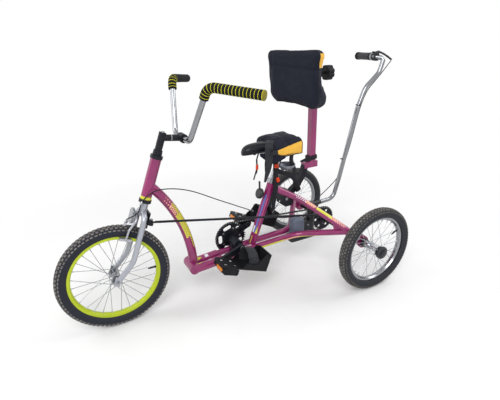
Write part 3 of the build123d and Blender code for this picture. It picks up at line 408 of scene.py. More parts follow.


# %% [markdown]
# Clear ribbed plastic in front of a mirror backing is what a reflector is. Rendered as real glass it would need many
# bounces, so a pale, coated surface with fine ribs stands in, with the light that the mirror backing sends back painted
# into its
# colour as a painted reflection: pale and dark stripes along the ribs.

# %% Reflector plastic
lens = Finish("reflector_lens", Coat_Weight=0.3, Coat_Roughness=0.1, Metallic=0.2)
_, ly, lz = lens.axes()
rib_relief_and_painted_reflection = (ly * (2 * math.pi / 0.0065)).wave() * (lz * (2 * math.pi / 0.009)).wave()
# Painted reflection: the colour runs from dark to pale with the ribs, standing in for the light the mirror backing
# returns; the same ribs also give the real relief of the bump.
lens.put("Base Color", lens.mix(lens.ramp(rib_relief_and_painted_reflection, -0.8, 0.8), tint(54, 58, 66), tint(190, 194, 200)))
lens.put("Roughness", 0.18 + lens.ramp(lens.noise(300.0), 0.4, 0.7) * 0.12)
lens.bump(rib_relief_and_painted_reflection, 0.0005, 0.7)
print("lens ready")


# %% [markdown]
# Rear hubs are chrome with a black dust cap outside and a black seal inside. The node is
# one piece in CAD, so its material is split by distance from the wheel's middle plane.
# The push tube, pivot and other two-tone nodes are split the same way.

# %% Split finishes
def split(name, first, second, mask_of):
    """Two finishes in one material: the mask's 1 shows the second."""
    made = Finish(name)
    shaders = (made.shader, made.tree.nodes.new("ShaderNodeBsdfPrincipled"))
    for shader, (colour, metallic, rough) in zip(shaders, (first, second)):
        made.shader = shader
        marks = made.ramp(made.noise(26.0, 5.0, 0.65), 0.45, 0.75)
        made.put("Base Color", made.mix(marks * 0.5, colour, shade(colour, 0.8 if metallic else 1.6)))
        made.put("Roughness", marks * 0.14 + rough)
        made.put("Metallic", metallic)
        made.bump(made.noise(700.0), 0.0001, 0.4)
    made.blend(mask_of(made), *shaders)
    return made


BRIGHT = (tint(142, 144, 148), 1.0, 0.16)
DARK = (tint(21, 22, 27), 0.0, 0.38)


def hub_mask(made):
    _, y, _ = made.axes()
    out = y.size() - 0.341
    return 1.0 - (out > -0.0565) * (out < 0.0355)


def push_mask(made):
    x, y, z = made.axes()
    return ((y < -0.0525) * (z > 0.95)).most((z < 0.3445) * (x > x_at(60)))


def pivot_mask(made):
    x, _, z = made.axes()
    return 1.0 - (x > x_at(171)) * (z > 0.1855)


def clamp_mask(made):
    return made.axes()[0] < x_at(322)


def knob_mask(made):
    """1 outside the seat tube's own round, where the hand knob stands in front of it."""
    x, _, z = made.axes()
    run_x, _, run_z = (float(v) for v in unit(SEAT_TUBE[1] - SEAT_TUBE[0]))
    off = (x - float(SEAT_TUBE[0][0])) * run_z - (z - float(SEAT_TUBE[0][2])) * run_x
    return (off > 0.0215) * (z > 0.33)


def lever_mask(made):
    """1 away from the band that grips the tube."""
    x, y, z = made.axes()
    near = ((x - x_at(-262)).size() < 0.0192) * ((z - 1.023).size() < 0.0192)
    return 1.0 - near * (y < -0.0392) * (y > -0.0525)


GREY = (tint(92, 99, 116), 0.0, 0.5)
BOWL = (tint(128, 132, 142), 0.3, 0.35)
PURPLE = (tint(140, 28, 94), 0.1, 0.26)
HUB = (tint(186, 188, 193), 1.0, 0.16)
hub_two_tone = split("hub_two_tone", HUB, DARK, hub_mask)
push_two_tone = split("push_two_tone", BRIGHT, DARK, push_mask)
pivot_two_tone = split("pivot_two_tone", GREY, DARK, pivot_mask)
clamp_two_tone = split("clamp_two_tone", BRIGHT, BOWL, clamp_mask)
lever_two_tone = split("lever_two_tone", BRIGHT, DARK, lever_mask)
seat_tube_finish = split("seat_tube_finish", PURPLE, DARK, knob_mask)
print("split finishes", 6)


# %% [markdown]
# Each CAD node keeps its shape and gets its finish by name.

# %% Dress the CAD nodes
NODES_OF = (
    (tyre_front, "front_tyre"), (tyre_left, "rear_tyre_left"), (tyre_right, "rear_tyre_right"),
    (rim_lime, "front_rim"), (chrome, "rear_rim_left rear_rim_right front_hub handlebar seat_post"),
    (hub_two_tone, "rear_hub_left rear_hub_right"), (fork_silver, "fork"), (cast_silver, "front_brake"),
    (gloss_black, "headset_lower_cup headset_upper_cup saddle"), (bolt_steel, "front_axle"),
    (satin_black, "stem steering_arm steering_rod rear_axle drive_sprocket chainring crank_spindle bottom_bracket "
                  "crank_arm_left crank_arm_right backrest_bar backrest_holder"),
    (foam_black, "grip_left grip_right"), (lens, "front_reflector"), (chain_steel, "chain"),
    (matte_black, "pedal_body_left pedal_body_right foot_plate_left foot_plate_right backrest_knob"),
    (strap_grey, "foot_strap_left foot_strap_right"), (clamp_two_tone, "seat_clamp"),
    (seat_tube_finish, "seat_tube"), (pivot_two_tone, "pivot_block"), (push_two_tone, "push_handle"),
    (lever_two_tone, "brake_lever"))
FINISH_OF = {node: finish for finish, nodes in NODES_OF for node in nodes.split()}
for name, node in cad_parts.items():
    node.data.materials.clear()
    node.data.materials.append(FINISH_OF.get(name, frame_purple).material)
print("dressed", len(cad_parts), "nodes")


# %% [markdown]
# The brake's cable is one housing in three stretches, because it passes the steering and
# the push handle's pivot. Each stretch is a smooth NURBS line through the air with its
# points as control points, and it moves with what it is tied to.

# %% Brake cable
def points_of(mesh):
    """All of a mesh's points as one array."""
    points = np.empty(len(mesh.vertices) * 3)
    mesh.vertices.foreach_get("co", points)
    return points.reshape(-1, 3)


def put_points(mesh, points):
    mesh.vertices.foreach_set("co", points.ravel())
    mesh.update()


def cable(name, points, body, node):
    curve = bpy.data.curves.new(name, "CURVE")
    curve.dimensions = "3D"
    spline = curve.splines.new("NURBS")
    spline.points.add(len(points) - 1)
    spline.points.foreach_set("co", np.c_[points, np.ones(len(points))].ravel())
    spline.order_u = 3
    spline.use_endpoint_u = True
    curve.resolution_u = 8
    piece = bpy.data.objects.new(name, curve)
    bpy.context.collection.objects.link(piece)
    length = float(lengths(points_of(bpy.data.meshes.new_from_object(piece)))[-1])
    curve.bevel_depth = 0.0022
    curve.bevel_resolution = 4
    curve.use_fill_caps = True
    curve.materials.append(cable_black.material)
    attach(piece, body)
    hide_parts(node)
    print(name, "length", round(length, 3))
    return piece


handle_route = [at(*p) for p in (
    (-346, -4, 1001), (-318, -2, 976), (-282, 0, 942), (-243, 0, 908), (-206, 0, 876),
    (-185, 0, 842), (-167, -1, 798), (-153, -3, 742), (-140, -4, 684), (-125, -4, 627),
    (-109, -4, 570), (-92, -6, 514), (-75, -10, 464), (-54, -17, 428), (-22, -18, 402),
    (14, -20, 375), (48, -24, 350), (77, -28, 332), (95, -29, 321), (102, -29, 310), (102, -29, 296.3))]
frame_route = [at(*p) for p in (
    (102, -29, 296), (102, -29, 281), (113, -30, 267), (134, -32, 261), (170, -33, 263),
    (214, -33, 268), (264, -30, 277), (314, -28, 292), (362, -26, 312), (408, -25, 338),
    (446, -22, 362), (486, -16, 386), (528, -10, 410), (572, -5, 436), (620, 0, 463),
    (668, 6, 492), (715, 12, 521), (766, 20, 549), (822, 26, 570), (876, 31, 581), (916, 33, 580))]
frame_route += [on_steering(*p) for p in ((10, 31, 368), (19, 27, 348), (20, 26, 332))]
fork_route = [on_steering(*p) for p in (
    (20, 26, 331.7), (21, 27, 316), (26, 31, 300), (39, 34, 286), (54, 31, 274), (63, 25, 264), (63, 25, 250))]
cable("cable_on_handle", np.array(handle_route), "attendant_handle", "brake_cable_handle")
cable("cable_on_frame", np.array(frame_route), "frame", "brake_cable_frame")
cable("cable_on_fork", np.array(fork_route), "steering", "brake_cable_fork")


# %% [markdown]
# The floor is one wide, flat, pale sheet that takes the shadow. Far from the machine, where
# it is seen directly or in a mirror finish, it fades to plain white, and so does the world
# behind it, so that no horizon shows. For all other light the floor stays matt.

# %% Floor and lights
def background_seen(made):
    """1 where a ray from the camera, a mirror or a clear piece looks at the ground."""
    path = made.node("ShaderNodeLightPath", {}, {}).socket.node
    camera_ray, mirror, clear = (Flow(made, path.outputs[f"Is {k} Ray"]) for k in ("Camera", "Glossy", "Transmission"))
    return camera_ray.most(mirror).most(clear)


def stage_material():
    """Pale matt floor whose far part, past the shadow, is seen as plain white."""
    made = Finish("stage", Roughness=0.9, Emission_Strength=0.0)
    speck = made.ramp(made.noise(3.0, 3.0), 0.3, 0.7)
    made.put("Base Color", made.mix(speck, (0.90, 0.90, 0.90, 1), (0.93, 0.93, 0.93, 1)))
    x, y, _ = made.axes()
    far = made.ramp((x * x + y * y).root(), 0.75, 1.9)
    made.blend(far * background_seen(made), made.shader, made.tree.nodes.new("ShaderNodeEmission"))
    return made


bpy.ops.mesh.primitive_plane_add(size=40, location=(0, 0, 0))
floor = bpy.context.object
floor.name = "floor"
floor.data.materials.append(stage_material().material)

world = bpy.data.worlds.new("studio")
bpy.context.scene.world = world
world.use_nodes = True
sky = Graph(world.node_tree)
back = next(n for n in sky.tree.nodes if n.type == "BACKGROUND")
back.inputs["Color"].default_value = (1, 1, 1, 1)
sky.feed(back.inputs["Strength"], 0.5 + background_seen(sky) * 0.5)


def softbox(name, place, size, watts):
    """A square area light, turned to look at the saddle."""
    data = bpy.data.lights.new(name, "AREA")
    data.size = size
    data.energy = watts
    lamp = bpy.data.objects.new(name, data)
    bpy.context.collection.objects.link(lamp)
    place = Vector(place)
    lamp.location = place
    lamp.rotation_euler = (Vector((0.0, 0.0, 0.45)) - place).to_track_quat("-Z", "Y").to_euler()
    return lamp


softbox("key_light", (1.6, 2.6, 3.2), 2.2, 95)
softbox("fill_light", (2.8, -1.4, 2.2), 2.4, 36)
softbox("rim_light", (-2.6, 0.6, 2.6), 2.0, 42)
bpy.context.scene.view_settings.view_transform = "Standard"
print("lights", 3)


# %% [markdown]
# Every added piece is a surface worked out as a whole array of points. This first helper
# turns a grid of points into a mesh, with the choice to close it round either way.

# %% Mesh makers
def mesh_piece(name, points, faces, finish, body, smooth=True, closed=True):
    """A mesh object at the origin with its place in its points. A closed one is turned outwards."""
    mesh = bpy.data.meshes.new(name)
    mesh.from_pydata(np.asarray(points).reshape(-1, 3).tolist(), [], [list(map(int, f)) for f in faces])
    mesh.validate()
    if smooth:
        mesh.shade_smooth()
    mesh.materials.append(finish.material)
    piece = bpy.data.objects.new(name, mesh)
    bpy.context.collection.objects.link(piece)
    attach(piece, body)
    if closed:
        made = bmesh.new()
        made.from_mesh(mesh)
        bmesh.ops.recalc_face_normals(made, faces=made.faces)
        made.to_mesh(mesh)
        made.free()
    return piece


def grid_faces(rows, columns, round_rows=False, round_columns=False, start=0):
    """Quads between neighbours of a grid of points, wrapping round where it closes."""
    i = np.arange(rows if round_rows else rows - 1)[:, None]
    j = np.arange(columns if round_columns else columns - 1)[None, :]
    i2, j2 = (i + 1) % rows, (j + 1) % columns
    quads = np.stack(np.broadcast_arrays(i * columns + j, i2 * columns + j, i2 * columns + j2, i * columns + j2), -1)
    return quads.reshape(-1, 4) + start


def tube_faces(rows, columns):
    """A grid closed round its columns, with one face over each end."""
    ends = [list(range(columns)), list(range((rows - 1) * columns, rows * columns))[::-1]]
    return [*grid_faces(rows, columns, False, True).tolist(), *ends]


def frames_along(path, side):
    """Tangent, side and up at each point: the side is the given one made square to the run."""
    run = unit(np.gradient(path, axis=0))
    side = np.broadcast_to(np.array(side, float), path.shape)
    side = unit(side - run * (side * run).sum(1)[:, None])
    return run, side, np.cross(run, side)


def carried(path, outline, side):
    """A closed outline (side, up) in mm carried along a path: point = path + side a + up b."""
    _, across, up = frames_along(path, side)
    outline = np.array(outline, float) * MM
    return path[:, None] + across[:, None] * outline[None, :, :1] + up[:, None] * outline[None, :, 1:]


def swept(name, path, outline, side, finish, body, smooth=True):
    """A solid swept along a path, closed by its two end faces."""
    points = carried(path, outline, side)
    return mesh_piece(name, points, tube_faces(*points.shape[:2]), finish, body, smooth)


def ring_outline(radius, count=16):
    """Points on a circle: (r cos a, r sin a)."""
    return radius * np.stack(circle(count), 1)


def band_outline(width, thick):
    """A flat band with its four corners taken off."""
    w, t, c = width / 2, thick / 2, min(width, thick) * 0.28
    return [(-w + c, -t), (w - c, -t), (w, -t + c), (w, t - c), (w - c, t), (-w + c, t), (-w, t - c), (-w, -t + c)]


def turned(name, centre, axis, profile, finish, body, sides=32, smooth=True):
    """A profile of (distance along the axis, radius) in mm, turned about the axis."""
    axis = unit(axis)
    u = unit(np.cross(axis, (0.0, 0.0, 1.0) if abs(axis[2]) < 0.9 else (1.0, 0.0, 0.0)))
    profile = np.array(profile, float) * MM
    cosines, sines = circle(sides)
    spoke = u * cosines[:, None] + np.cross(axis, u) * sines[:, None]
    points = np.array(centre) + axis * profile[:, None, :1] + spoke[None] * profile[:, None, 1:]
    piece = mesh_piece(name, points, tube_faces(len(profile), sides), finish, body, smooth)
    if smooth:
        piece.data.set_sharp_from_angle(angle=math.radians(40))
    return piece


def bolt(name, centre, axis, size, body, finish=None, head=None):
    """A hexagon head on a round washer, both turned about the bolt's axis."""
    finish = finish or bolt_steel
    head = head or size * 0.65
    turned(name + "_washer", centre, axis, [(0, size * 0.3), (0, size * 1.15), (0.9, size * 1.15), (0.9, size * 0.3)],
           finish, body, 24)
    return turned(name, centre, axis, [(0.9, size * 0.4), (0.9, size), (head, size), (head + 0.6, size * 0.82),
                                       (head + 0.6, size * 0.2)], finish, body, 6, False)


print("mesh makers ready")


# %% [markdown]
# Tyre tread is rows of small blocks on the tyre's round section. Each block has eight
# corners at its own angle round the wheel and round the section, so one array holds all
# the blocks of a wheel. Blocks taper outwards, and neighbouring rows are staggered.

# %% Tread
def tread(name, centre, wheel_r, width, finish, body, count):
    """Corner = wheel centre + (R + r cos t)(cos p, 0, sin p) + r sin t along the axle,
    with R the ring's radius, r the section's plus the block's height, and p, t the angles."""
    tube_r = width / 2
    ring_r = wheel_r - tube_r
    rows = [(-64, 7, 0.5, 0.36, 2.3), (-37, 8.5, 0.0, 0.33, 2.2), (-12, 9, 0.5, 0.32, 1.0),
            (12, 9, 0.0, 0.32, 1.0), (37, 8.5, 0.5, 0.33, 2.2), (64, 7, 0.0, 0.36, 2.3)]
    t_mid = np.radians([r[0] for r in rows])[:, None]
    t_half = np.radians([r[1] for r in rows])[:, None]
    p_mid = 2 * np.pi * (np.arange(count)[None] + np.array([r[2] for r in rows])[:, None]) / count
    p_half = 2 * np.pi / count * np.array([r[3] for r in rows])[:, None] * np.ones_like(p_mid)
    corner = np.array([(a, b, c) for c in (0, 1) for a, b in ((-1, -1), (1, -1), (1, 1), (-1, 1))], float)
    taper = np.where(corner[:, 2] > 0, 0.78, 1.0)
    p = p_mid[..., None] + p_half[..., None] * corner[:, 0] * taper
    t = (t_mid + 0 * p_mid)[..., None] + (t_half + 0 * p_mid)[..., None] * corner[:, 1] * taper
    proud = np.array([r[4] for r in rows])[:, None, None]
    r = tube_r + np.where(corner[:, 2] > 0, proud, -0.8 + 0 * proud)
    away = (ring_r + r * np.cos(t)) * MM
    points = np.stack([away * np.cos(p), r * np.sin(t) * MM, away * np.sin(p)], -1).reshape(-1, 3) + centre
    box = np.array([(4, 5, 6, 7), (0, 1, 5, 4), (1, 2, 6, 5), (2, 3, 7, 6), (3, 0, 4, 7)])
    faces = (box[None] + 8 * np.arange(len(points) // 8)[:, None, None]).reshape(-1, 4)
    return mesh_piece(name, points, faces, finish, body, False)


FRONT_CENTRE = at(1110, 0, 230)
REAR_CENTRES = {"left": at(0, 341, 203), "right": at(0, -341, 203)}
STEPS = {"front": 78, "rear": 74}
tread("front_tread", FRONT_CENTRE, 230, 48, tread_front, "front_wheel", STEPS["front"])
tread("rear_tread_left", REAR_CENTRES["left"], 203, 50, tread_left, "rear_wheel_left", STEPS["rear"])
tread("rear_tread_right", REAR_CENTRES["right"], 203, 50, tread_right, "rear_wheel_right", STEPS["rear"])
print("tread blocks", 6 * (STEPS["front"] + 2 * STEPS["rear"]))


# %% [markdown]
# Spokes end in nipples at the rim. Each nipple is a small eight-sided barrel that points
# along its own spoke, and all of a wheel's nipples are one mesh.

# %% Nipples and valves
SPOKES = 28
SPOKE_LEAN = math.radians(62)


def nipples(name, centre, rim_r, flange_r, flanges, body, mirror=1):
    """Axis of each = unit(foot on the flange - head at the rim). Ring k = head + k axis + r around."""
    number = np.arange(SPOKES)
    at_rim = 2 * np.pi / SPOKES * number
    lean = np.where((number // 2) % 2 == 1, 1, -1)
    at_hub = at_rim + lean * SPOKE_LEAN
    flange_y = np.where(number % 2 == 0, flanges[0], flanges[1]) * mirror
    inner = rim_r - 15.3
    head = np.stack([inner * np.cos(at_rim), 0 * at_rim, inner * np.sin(at_rim)], 1)
    foot = np.stack([flange_r * np.cos(at_hub), flange_y, flange_r * np.sin(at_hub)], 1)
    axis = unit(foot - head)
    side = unit(np.cross(axis, [0, 1, 0]))
    third = np.cross(axis, side)
    cosines, sines = circle(8)
    rings = np.array([(-1.0, 3.2), (0.6, 3.0), (1.4, 2.0), (9.0, 1.8), (12.0, 1.3)])
    around = side[:, None] * cosines[None, :, None] + third[:, None] * sines[None, :, None]
    points = (head[:, None, None] + axis[:, None, None] * rings[None, :, None, :1]
              + around[:, None] * rings[None, :, None, 1:])
    faces = np.concatenate([grid_faces(5, 8, False, True, 40 * k) for k in range(SPOKES)]).tolist()
    faces += [[40 * k + 32 + c for c in range(8)] for k in range(SPOKES)]
    return mesh_piece(name, points.reshape(-1, 3) * MM + centre, faces, bolt_steel, body)


nipples("front_nipples", FRONT_CENTRE, 186, 19, (-33, 33), "front_wheel")
nipples("rear_nipples_left", REAR_CENTRES["left"], 161, 21, (-30, 26), "rear_wheel_left")
nipples("rear_nipples_right", REAR_CENTRES["right"], 161, 21, (-30, 26), "rear_wheel_right", -1)
VALVE = [(-2, 4.2), (4, 4.2), (6, 3.6), (24, 3.6), (24.5, 3.0), (34, 3.0), (35, 1.6)]
for label, centre, rim_r, angle, body in (
        ("front", FRONT_CENTRE, 186, 182, "front_wheel"),
        ("rear_left", REAR_CENTRES["left"], 161, 155, "rear_wheel_left"),
        ("rear_right", REAR_CENTRES["right"], 161, 200, "rear_wheel_right")):
    way = np.array([math.cos(math.radians(angle)), 0.0, math.sin(math.radians(angle))])
    turned(label + "_valve", centre + way * (rim_r - 15) * MM, -way, VALVE, matte_black, body, 16)
print("nipples", 3 * SPOKES)


# %% [markdown]
# The foam grips have thin yellow rings moulded into them. The left grip has them all along
# and ends in an olive cap. The right one has them only round its lower bend, and a black cap.

# %% Grip rings
def grip_path(side):
    foot = on_steering(-82, side * 84, STEM_TOP - 2)
    corner = on_steering(-45, side * 197, STEM_TOP + 210)
    end = on_steering(-166, side * 362, STEM_TOP + 235)
    start = corner + unit(foot - corner) * 48 * MM
    tip = end + unit(end - corner) * 6 * MM
    return smooth_path([start, corner, tip], [45.0], 1.0)


def grip_rings(name, side, first, pitch, count):
    """Ring k is a low rounded band: radius = 17.3 + 0.8 cos(pi w / W) over its width W."""
    path = grip_path(side)
    along = lengths(path)
    w = np.linspace(-0.5, 0.5, 7)
    want = (first + pitch * np.arange(count)[:, None] + w[None] * 2.0) * MM
    centre = sample(want, along, path)
    run = sample(want, along, frames_along(path, (0.2, 0.1, 1))[0])
    side_way = unit(np.cross(run, [0.2, 0.1, 1.0]))
    third = np.cross(run, side_way)
    cosines, sines = circle(28)
    radius = (17.3 + 0.8 * np.cos(np.pi * w)) * MM
    around = side_way[:, :, None] * cosines[:, None] + third[:, :, None] * sines[:, None]
    points = centre[:, :, None] + around * radius[None, :, None, None]
    faces = np.concatenate([grid_faces(7, 28, False, True, 7 * 28 * k) for k in range(count)])
    return mesh_piece(name, points, faces, ring_yellow, "steering")


grip_rings("rings_left", 1, 9.0, 13.4, 19)
grip_rings("rings_right", -1, 6.0, 12.0, 5)
for side, label in ((1, "left"), (-1, "right")):
    path = grip_path(side)
    way = path[-1] - path[-2]
    turned("grip_cap_" + label, path[-1], way, [(-1.5, 17.7), (0.5, 17.8), (2.5, 16.8), (4, 12.0), (4.3, 3.0)],
           cap_olive if side > 0 else foam_black, "steering", 32)
print("grip rings", 24)


# %% [markdown]
# Stickers on a tube are thin skins that follow its round surface. A stripe is a patch
# between two distances along the tube and two angles round it. A dot is a small round
# patch. Both stand a fifth of a millimetre off the paint so that they never flicker.

# %% Stickers
class TubeSkin:
    """Places on a tube's surface from distance along it and angle from its outer side."""

    def __init__(self, points, radii, radius, side=1):
        self.path = smooth_path(points, radii, 2.0)
        self.along = lengths(self.path) / MM
        _, self.side, up = frames_along(self.path, (0, side, 0))
        self.up = up * np.where(up[:, 2:] < 0, -1.0, 1.0)
        self.radius = radius

    def place(self, distance, angle, lift=0.2):
        """Path(s) + (r + lift)(side cos a + up sin a)."""
        here, out, up = (sample(distance, self.along, rows) for rows in (self.path, self.side, self.up))
        return here + (self.radius + lift) * MM * (out * np.cos(angle)[..., None] + up * np.sin(angle)[..., None])

    def stripe(self, name, start, end, low, high, finish, taper=0.0, lift=0.2):
        s = np.linspace(start, end, max(3, int((end - start) / 6)))
        share = np.linspace(0, 1, len(s))[:, None]
        edge_low = np.radians(low) + share * math.radians(taper)
        edge_high = np.radians(high) - share * math.radians(taper)
        v = np.linspace(0, 1, 3 + int(abs(high - low) / 6))[None]
        angle = edge_low * (1 - v) + edge_high * v
        points = self.place(s[:, None] + 0 * angle, angle, lift)
        return self._skin(name, points, finish)

    def dots(self, name, start, end, pitch, angles, size, finish, shrink=0.0):
        """Each is a rounded square: (s, a) = centre + q r (c(b), s(b) / R), q = 0 to 1, where
        c and s are the cosine and sine, each raised to 0.6 with its sign kept."""
        s = np.arange(start, end, pitch)
        rows = []
        for k, angle in enumerate(angles):
            shifted = s + (pitch / 2 if k % 2 else 0)
            r = size * (1 - shrink * (shifted - start) / max(end - start, 1))
            b = np.linspace(0, 2 * np.pi, 12, endpoint=False)
            q = np.array([0.02, 0.6, 1.0])
            square = [np.sign(f(b)) * np.abs(f(b)) ** 0.6 for f in (np.cos, np.sin)]
            ds = r[:, None, None] * q[None, :, None] * square[0]
            da = r[:, None, None] * q[None, :, None] * square[1] / self.radius
            rows.append(self.place(shifted[:, None, None] + ds, math.radians(angle) + da))
        points = np.concatenate(rows)
        faces = np.concatenate([grid_faces(3, 12, False, True, 36 * k) for k in range(len(points))]).tolist()
        faces += [[36 * k + c for c in range(12)] for k in range(len(points))]
        return mesh_piece(name, points, faces, finish, "frame")

    def _skin(self, name, points, finish):
        rows, columns = points.shape[:2]
        piece = mesh_piece(name, points, grid_faces(rows, columns), finish, "frame", closed=False)
        middle = points[rows // 2, columns // 2]
        hub = self.path[np.argmin(np.linalg.norm(self.path - middle, axis=1))]
        normal = np.cross(points[rows // 2 + 1, columns // 2] - middle, points[rows // 2, columns // 2 + 1] - middle)
        if normal @ (middle - hub) > 0:
            piece.data.flip_normals()
        return piece


DOWN_TUBE = [on_steering(0, 0, 411), at(802, 0, 443), at(772, 0, 251), at(769, 0, 180)]
HEAD_TUBE = [on_steering(0, 0, 352), on_steering(0, 0, 522)]
for side, label in ((1, "left"), (-1, "right")):
    beam = [at(778, side * 30, 172), at(450, side * 30, 197), at(222, side * 30, 202),
            at(77, side * 220, 259), at(40, side * 262, 240)]
    stay = [at(352, side * 16, 474), at(230, side * 60, 404), at(140, side * 150, 328), at(64, side * 246, 262)]
    skins = {"down": TubeSkin(DOWN_TUBE, [600, 220], 20.0, side), "beam": TubeSkin(beam, [400, 110, 24], 15.0, side),
             "sleeve": TubeSkin(beam, [400, 110, 24], 20.0, side), "stay": TubeSkin(stay, [150, 200], 15.0, side),
             "seat_tube": TubeSkin(SEAT_TUBE, [], 19.0, side), "head": TubeSkin(HEAD_TUBE, [], 22.0, side)}
    full = skins["stay"].along[-1]
    for tube, mark, *rest in (
            ("down", "start", 82, 122, 12.5, (28, -10), 2.2, decal_peach, -0.5),
            ("down", "low", 124, 172, 9.6, (6, -16), 3.6, decal_peach),
            ("down", "high", 124, 172, 9.6, (52, 29), 3.9, decal_lime),
            ("down", "block", 174, 292, 9.0, (58, 34, 10, -14), 4.2, decal_lime),
            ("down", "tail", 296, 350, 10.0, (56, 32), 4.0, decal_lime, 0.2),
            ("down", "end", 354, 408, 11.0, (54,), 3.2, decal_peach, 0.4),
            ("stay", "dots", full - 318, full - 258, 12.5, (46, 18), 2.6, decal_white, -0.4),
            ("stay", "blocks", full - 256, full - 204, 10.5, (58, 36, 14), 4.0, decal_peach),
            ("stay", "end_dots", full - 108, full - 40, 10.5, (54, 32, 12), 3.6, decal_peach, 0.3)):
        skins[tube].dots(f"{tube}_{mark}_{label}", *rest)
    for tube, mark, *rest in (
            ("beam", "band", 250, 470, -52, 4, decal_lime),
            ("beam", "fade", 470, 560, -48, -4, decal_peach),
            ("beam", "tail", 560, 700, -42, -12, decal_lime, 12),
            ("sleeve", "chevron", 24, 56, 84, 160, decal_lime, 34),
            ("sleeve", "patch", 74, 90, 96, 140, decal_white),
            ("stay", "block", full - 200, full - 112, 4, 64, decal_lime),
            ("seat_tube", "blue", 62, 255, 38, 62, decal_blue),
            ("seat_tube", "pink", 90, 240, 12, 22, decal_pink),
            ("seat_tube", "white", 62, 96, 62, 84, decal_white),
            ("seat_tube", "lime", 60, 96, 6, 44, decal_lime, 18, 0.3),
            ("seat_tube", "foot", 4, 44, 58, 70, decal_lime),
            ("head", "band", 1, 13, -91, 91, decal_lime, 0, 0.3)):
        skins[tube].stripe(f"{tube}_{mark}_{label}", *rest)
print("stickers", 42)


# %% [markdown]
# The chain is rebuilt link by link along the line where the rollers run: two circles and
# the two straight lines that touch them. Each link is a pair of waisted plates.

# %% Chain links
LINKS = 122
CHAIN_Y = -50.0


def chain_line(count):
    """Equal steps round two circles joined by their outer tangents. The tangent's normal is
    turned from the centre line by acos((R - r) / distance)."""
    front, rear = np.array([555.0, 238.0]), np.array([0.0, 203.0])
    big, small = 76.9, 64.8
    gap = front - rear
    heading = math.atan2(gap[1], gap[0])
    spread = math.acos((big - small) / np.linalg.norm(gap))
    high, low = heading + spread, heading - spread
    round_front, round_rear = np.linspace(high, low, 60), np.linspace(low, high - 2 * np.pi, 60)
    loop = np.concatenate([
        front + big * np.stack([np.cos(round_front), np.sin(round_front)], 1),
        rear + small * np.stack([np.cos(round_rear), np.sin(round_rear)], 1),
        (front + big * np.array([math.cos(high), math.sin(high)]))[None]])
    along = lengths(loop)
    return sample(np.linspace(0, along[-1], count, endpoint=False), along, loop), along[-1]


def stood_up(flat, y):
    """Points (x, z) in the chain's plane and their y, all in mm, as points in metres."""
    x, y, z = np.broadcast_arrays(flat[..., 0], y, flat[..., 1])
    return np.stack([AXLE_X + x * MM, y * MM, z * MM], -1)


def plate_faces(first, second, count):
    """Both faces of one plate and the band between them: the two outlines start at first and second."""
    ring = list(range(count))
    return [[first + c for c in ring], [second + c for c in ring][::-1],
            *[[first + c, first + (c + 1) % count, second + (c + 1) % count, second + c] for c in ring]]


pins, loop_length = chain_line(LINKS)
way = unit(np.roll(pins, -1, axis=0) - pins)
normal = np.stack([-way[:, 1], way[:, 0]], 1)
pitch = loop_length / LINKS
upper = [(-3.4, 0), (-2.4, 2.9), (0, 4.1), (3.2, 3.2), (pitch / 2, 2.4), (pitch - 3.2, 3.2), (pitch, 4.1),
         (pitch + 2.4, 2.9), (pitch + 3.4, 0)]
outline = np.array(upper + [(x, -z) for x, z in upper[-2:0:-1]])
flat = pins[:, None] + way[:, None] * outline[None, :, :1] + normal[:, None] * outline[None, :, 1:]
offset = np.where(np.arange(LINKS) % 2 == 0, 2.35, 1.25)[:, None]
links = np.stack([stood_up(flat, CHAIN_Y + sign * (offset + depth)) for sign in (1, -1) for depth in (0.0, 1.0)])
size = len(outline)
faces = [face for pair in (0, 2) for k in range(LINKS)
         for face in plate_faces((pair * LINKS + k) * size, ((pair + 1) * LINKS + k) * size, size)]
chain = mesh_piece("chain_links", links, faces, chain_steel, "frame", False)
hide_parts("chain")
ring = pins[:, None, None] + 2.0 * np.stack(circle(10), -1)[None, None]
rivets = stood_up(ring, np.array([-53.9, -46.1])[None, :, None])
faces = [[20 * k + c for c in face] for k in range(LINKS) for face in tube_faces(2, 10)]
mesh_piece("chain_rivets", rivets, faces, bolt_steel, "frame", False)
print("links", LINKS, "pitch", round(pitch, 2))


# %% [markdown]
# The saddle's cover and the backrest are foam in sewn cloth. Each starts as a copy of its
# CAD solid, a little smaller, remade in small even cells. Cloth under pressure then swells
# it as real stuffing does, and a cap on each point's movement keeps it in its place.

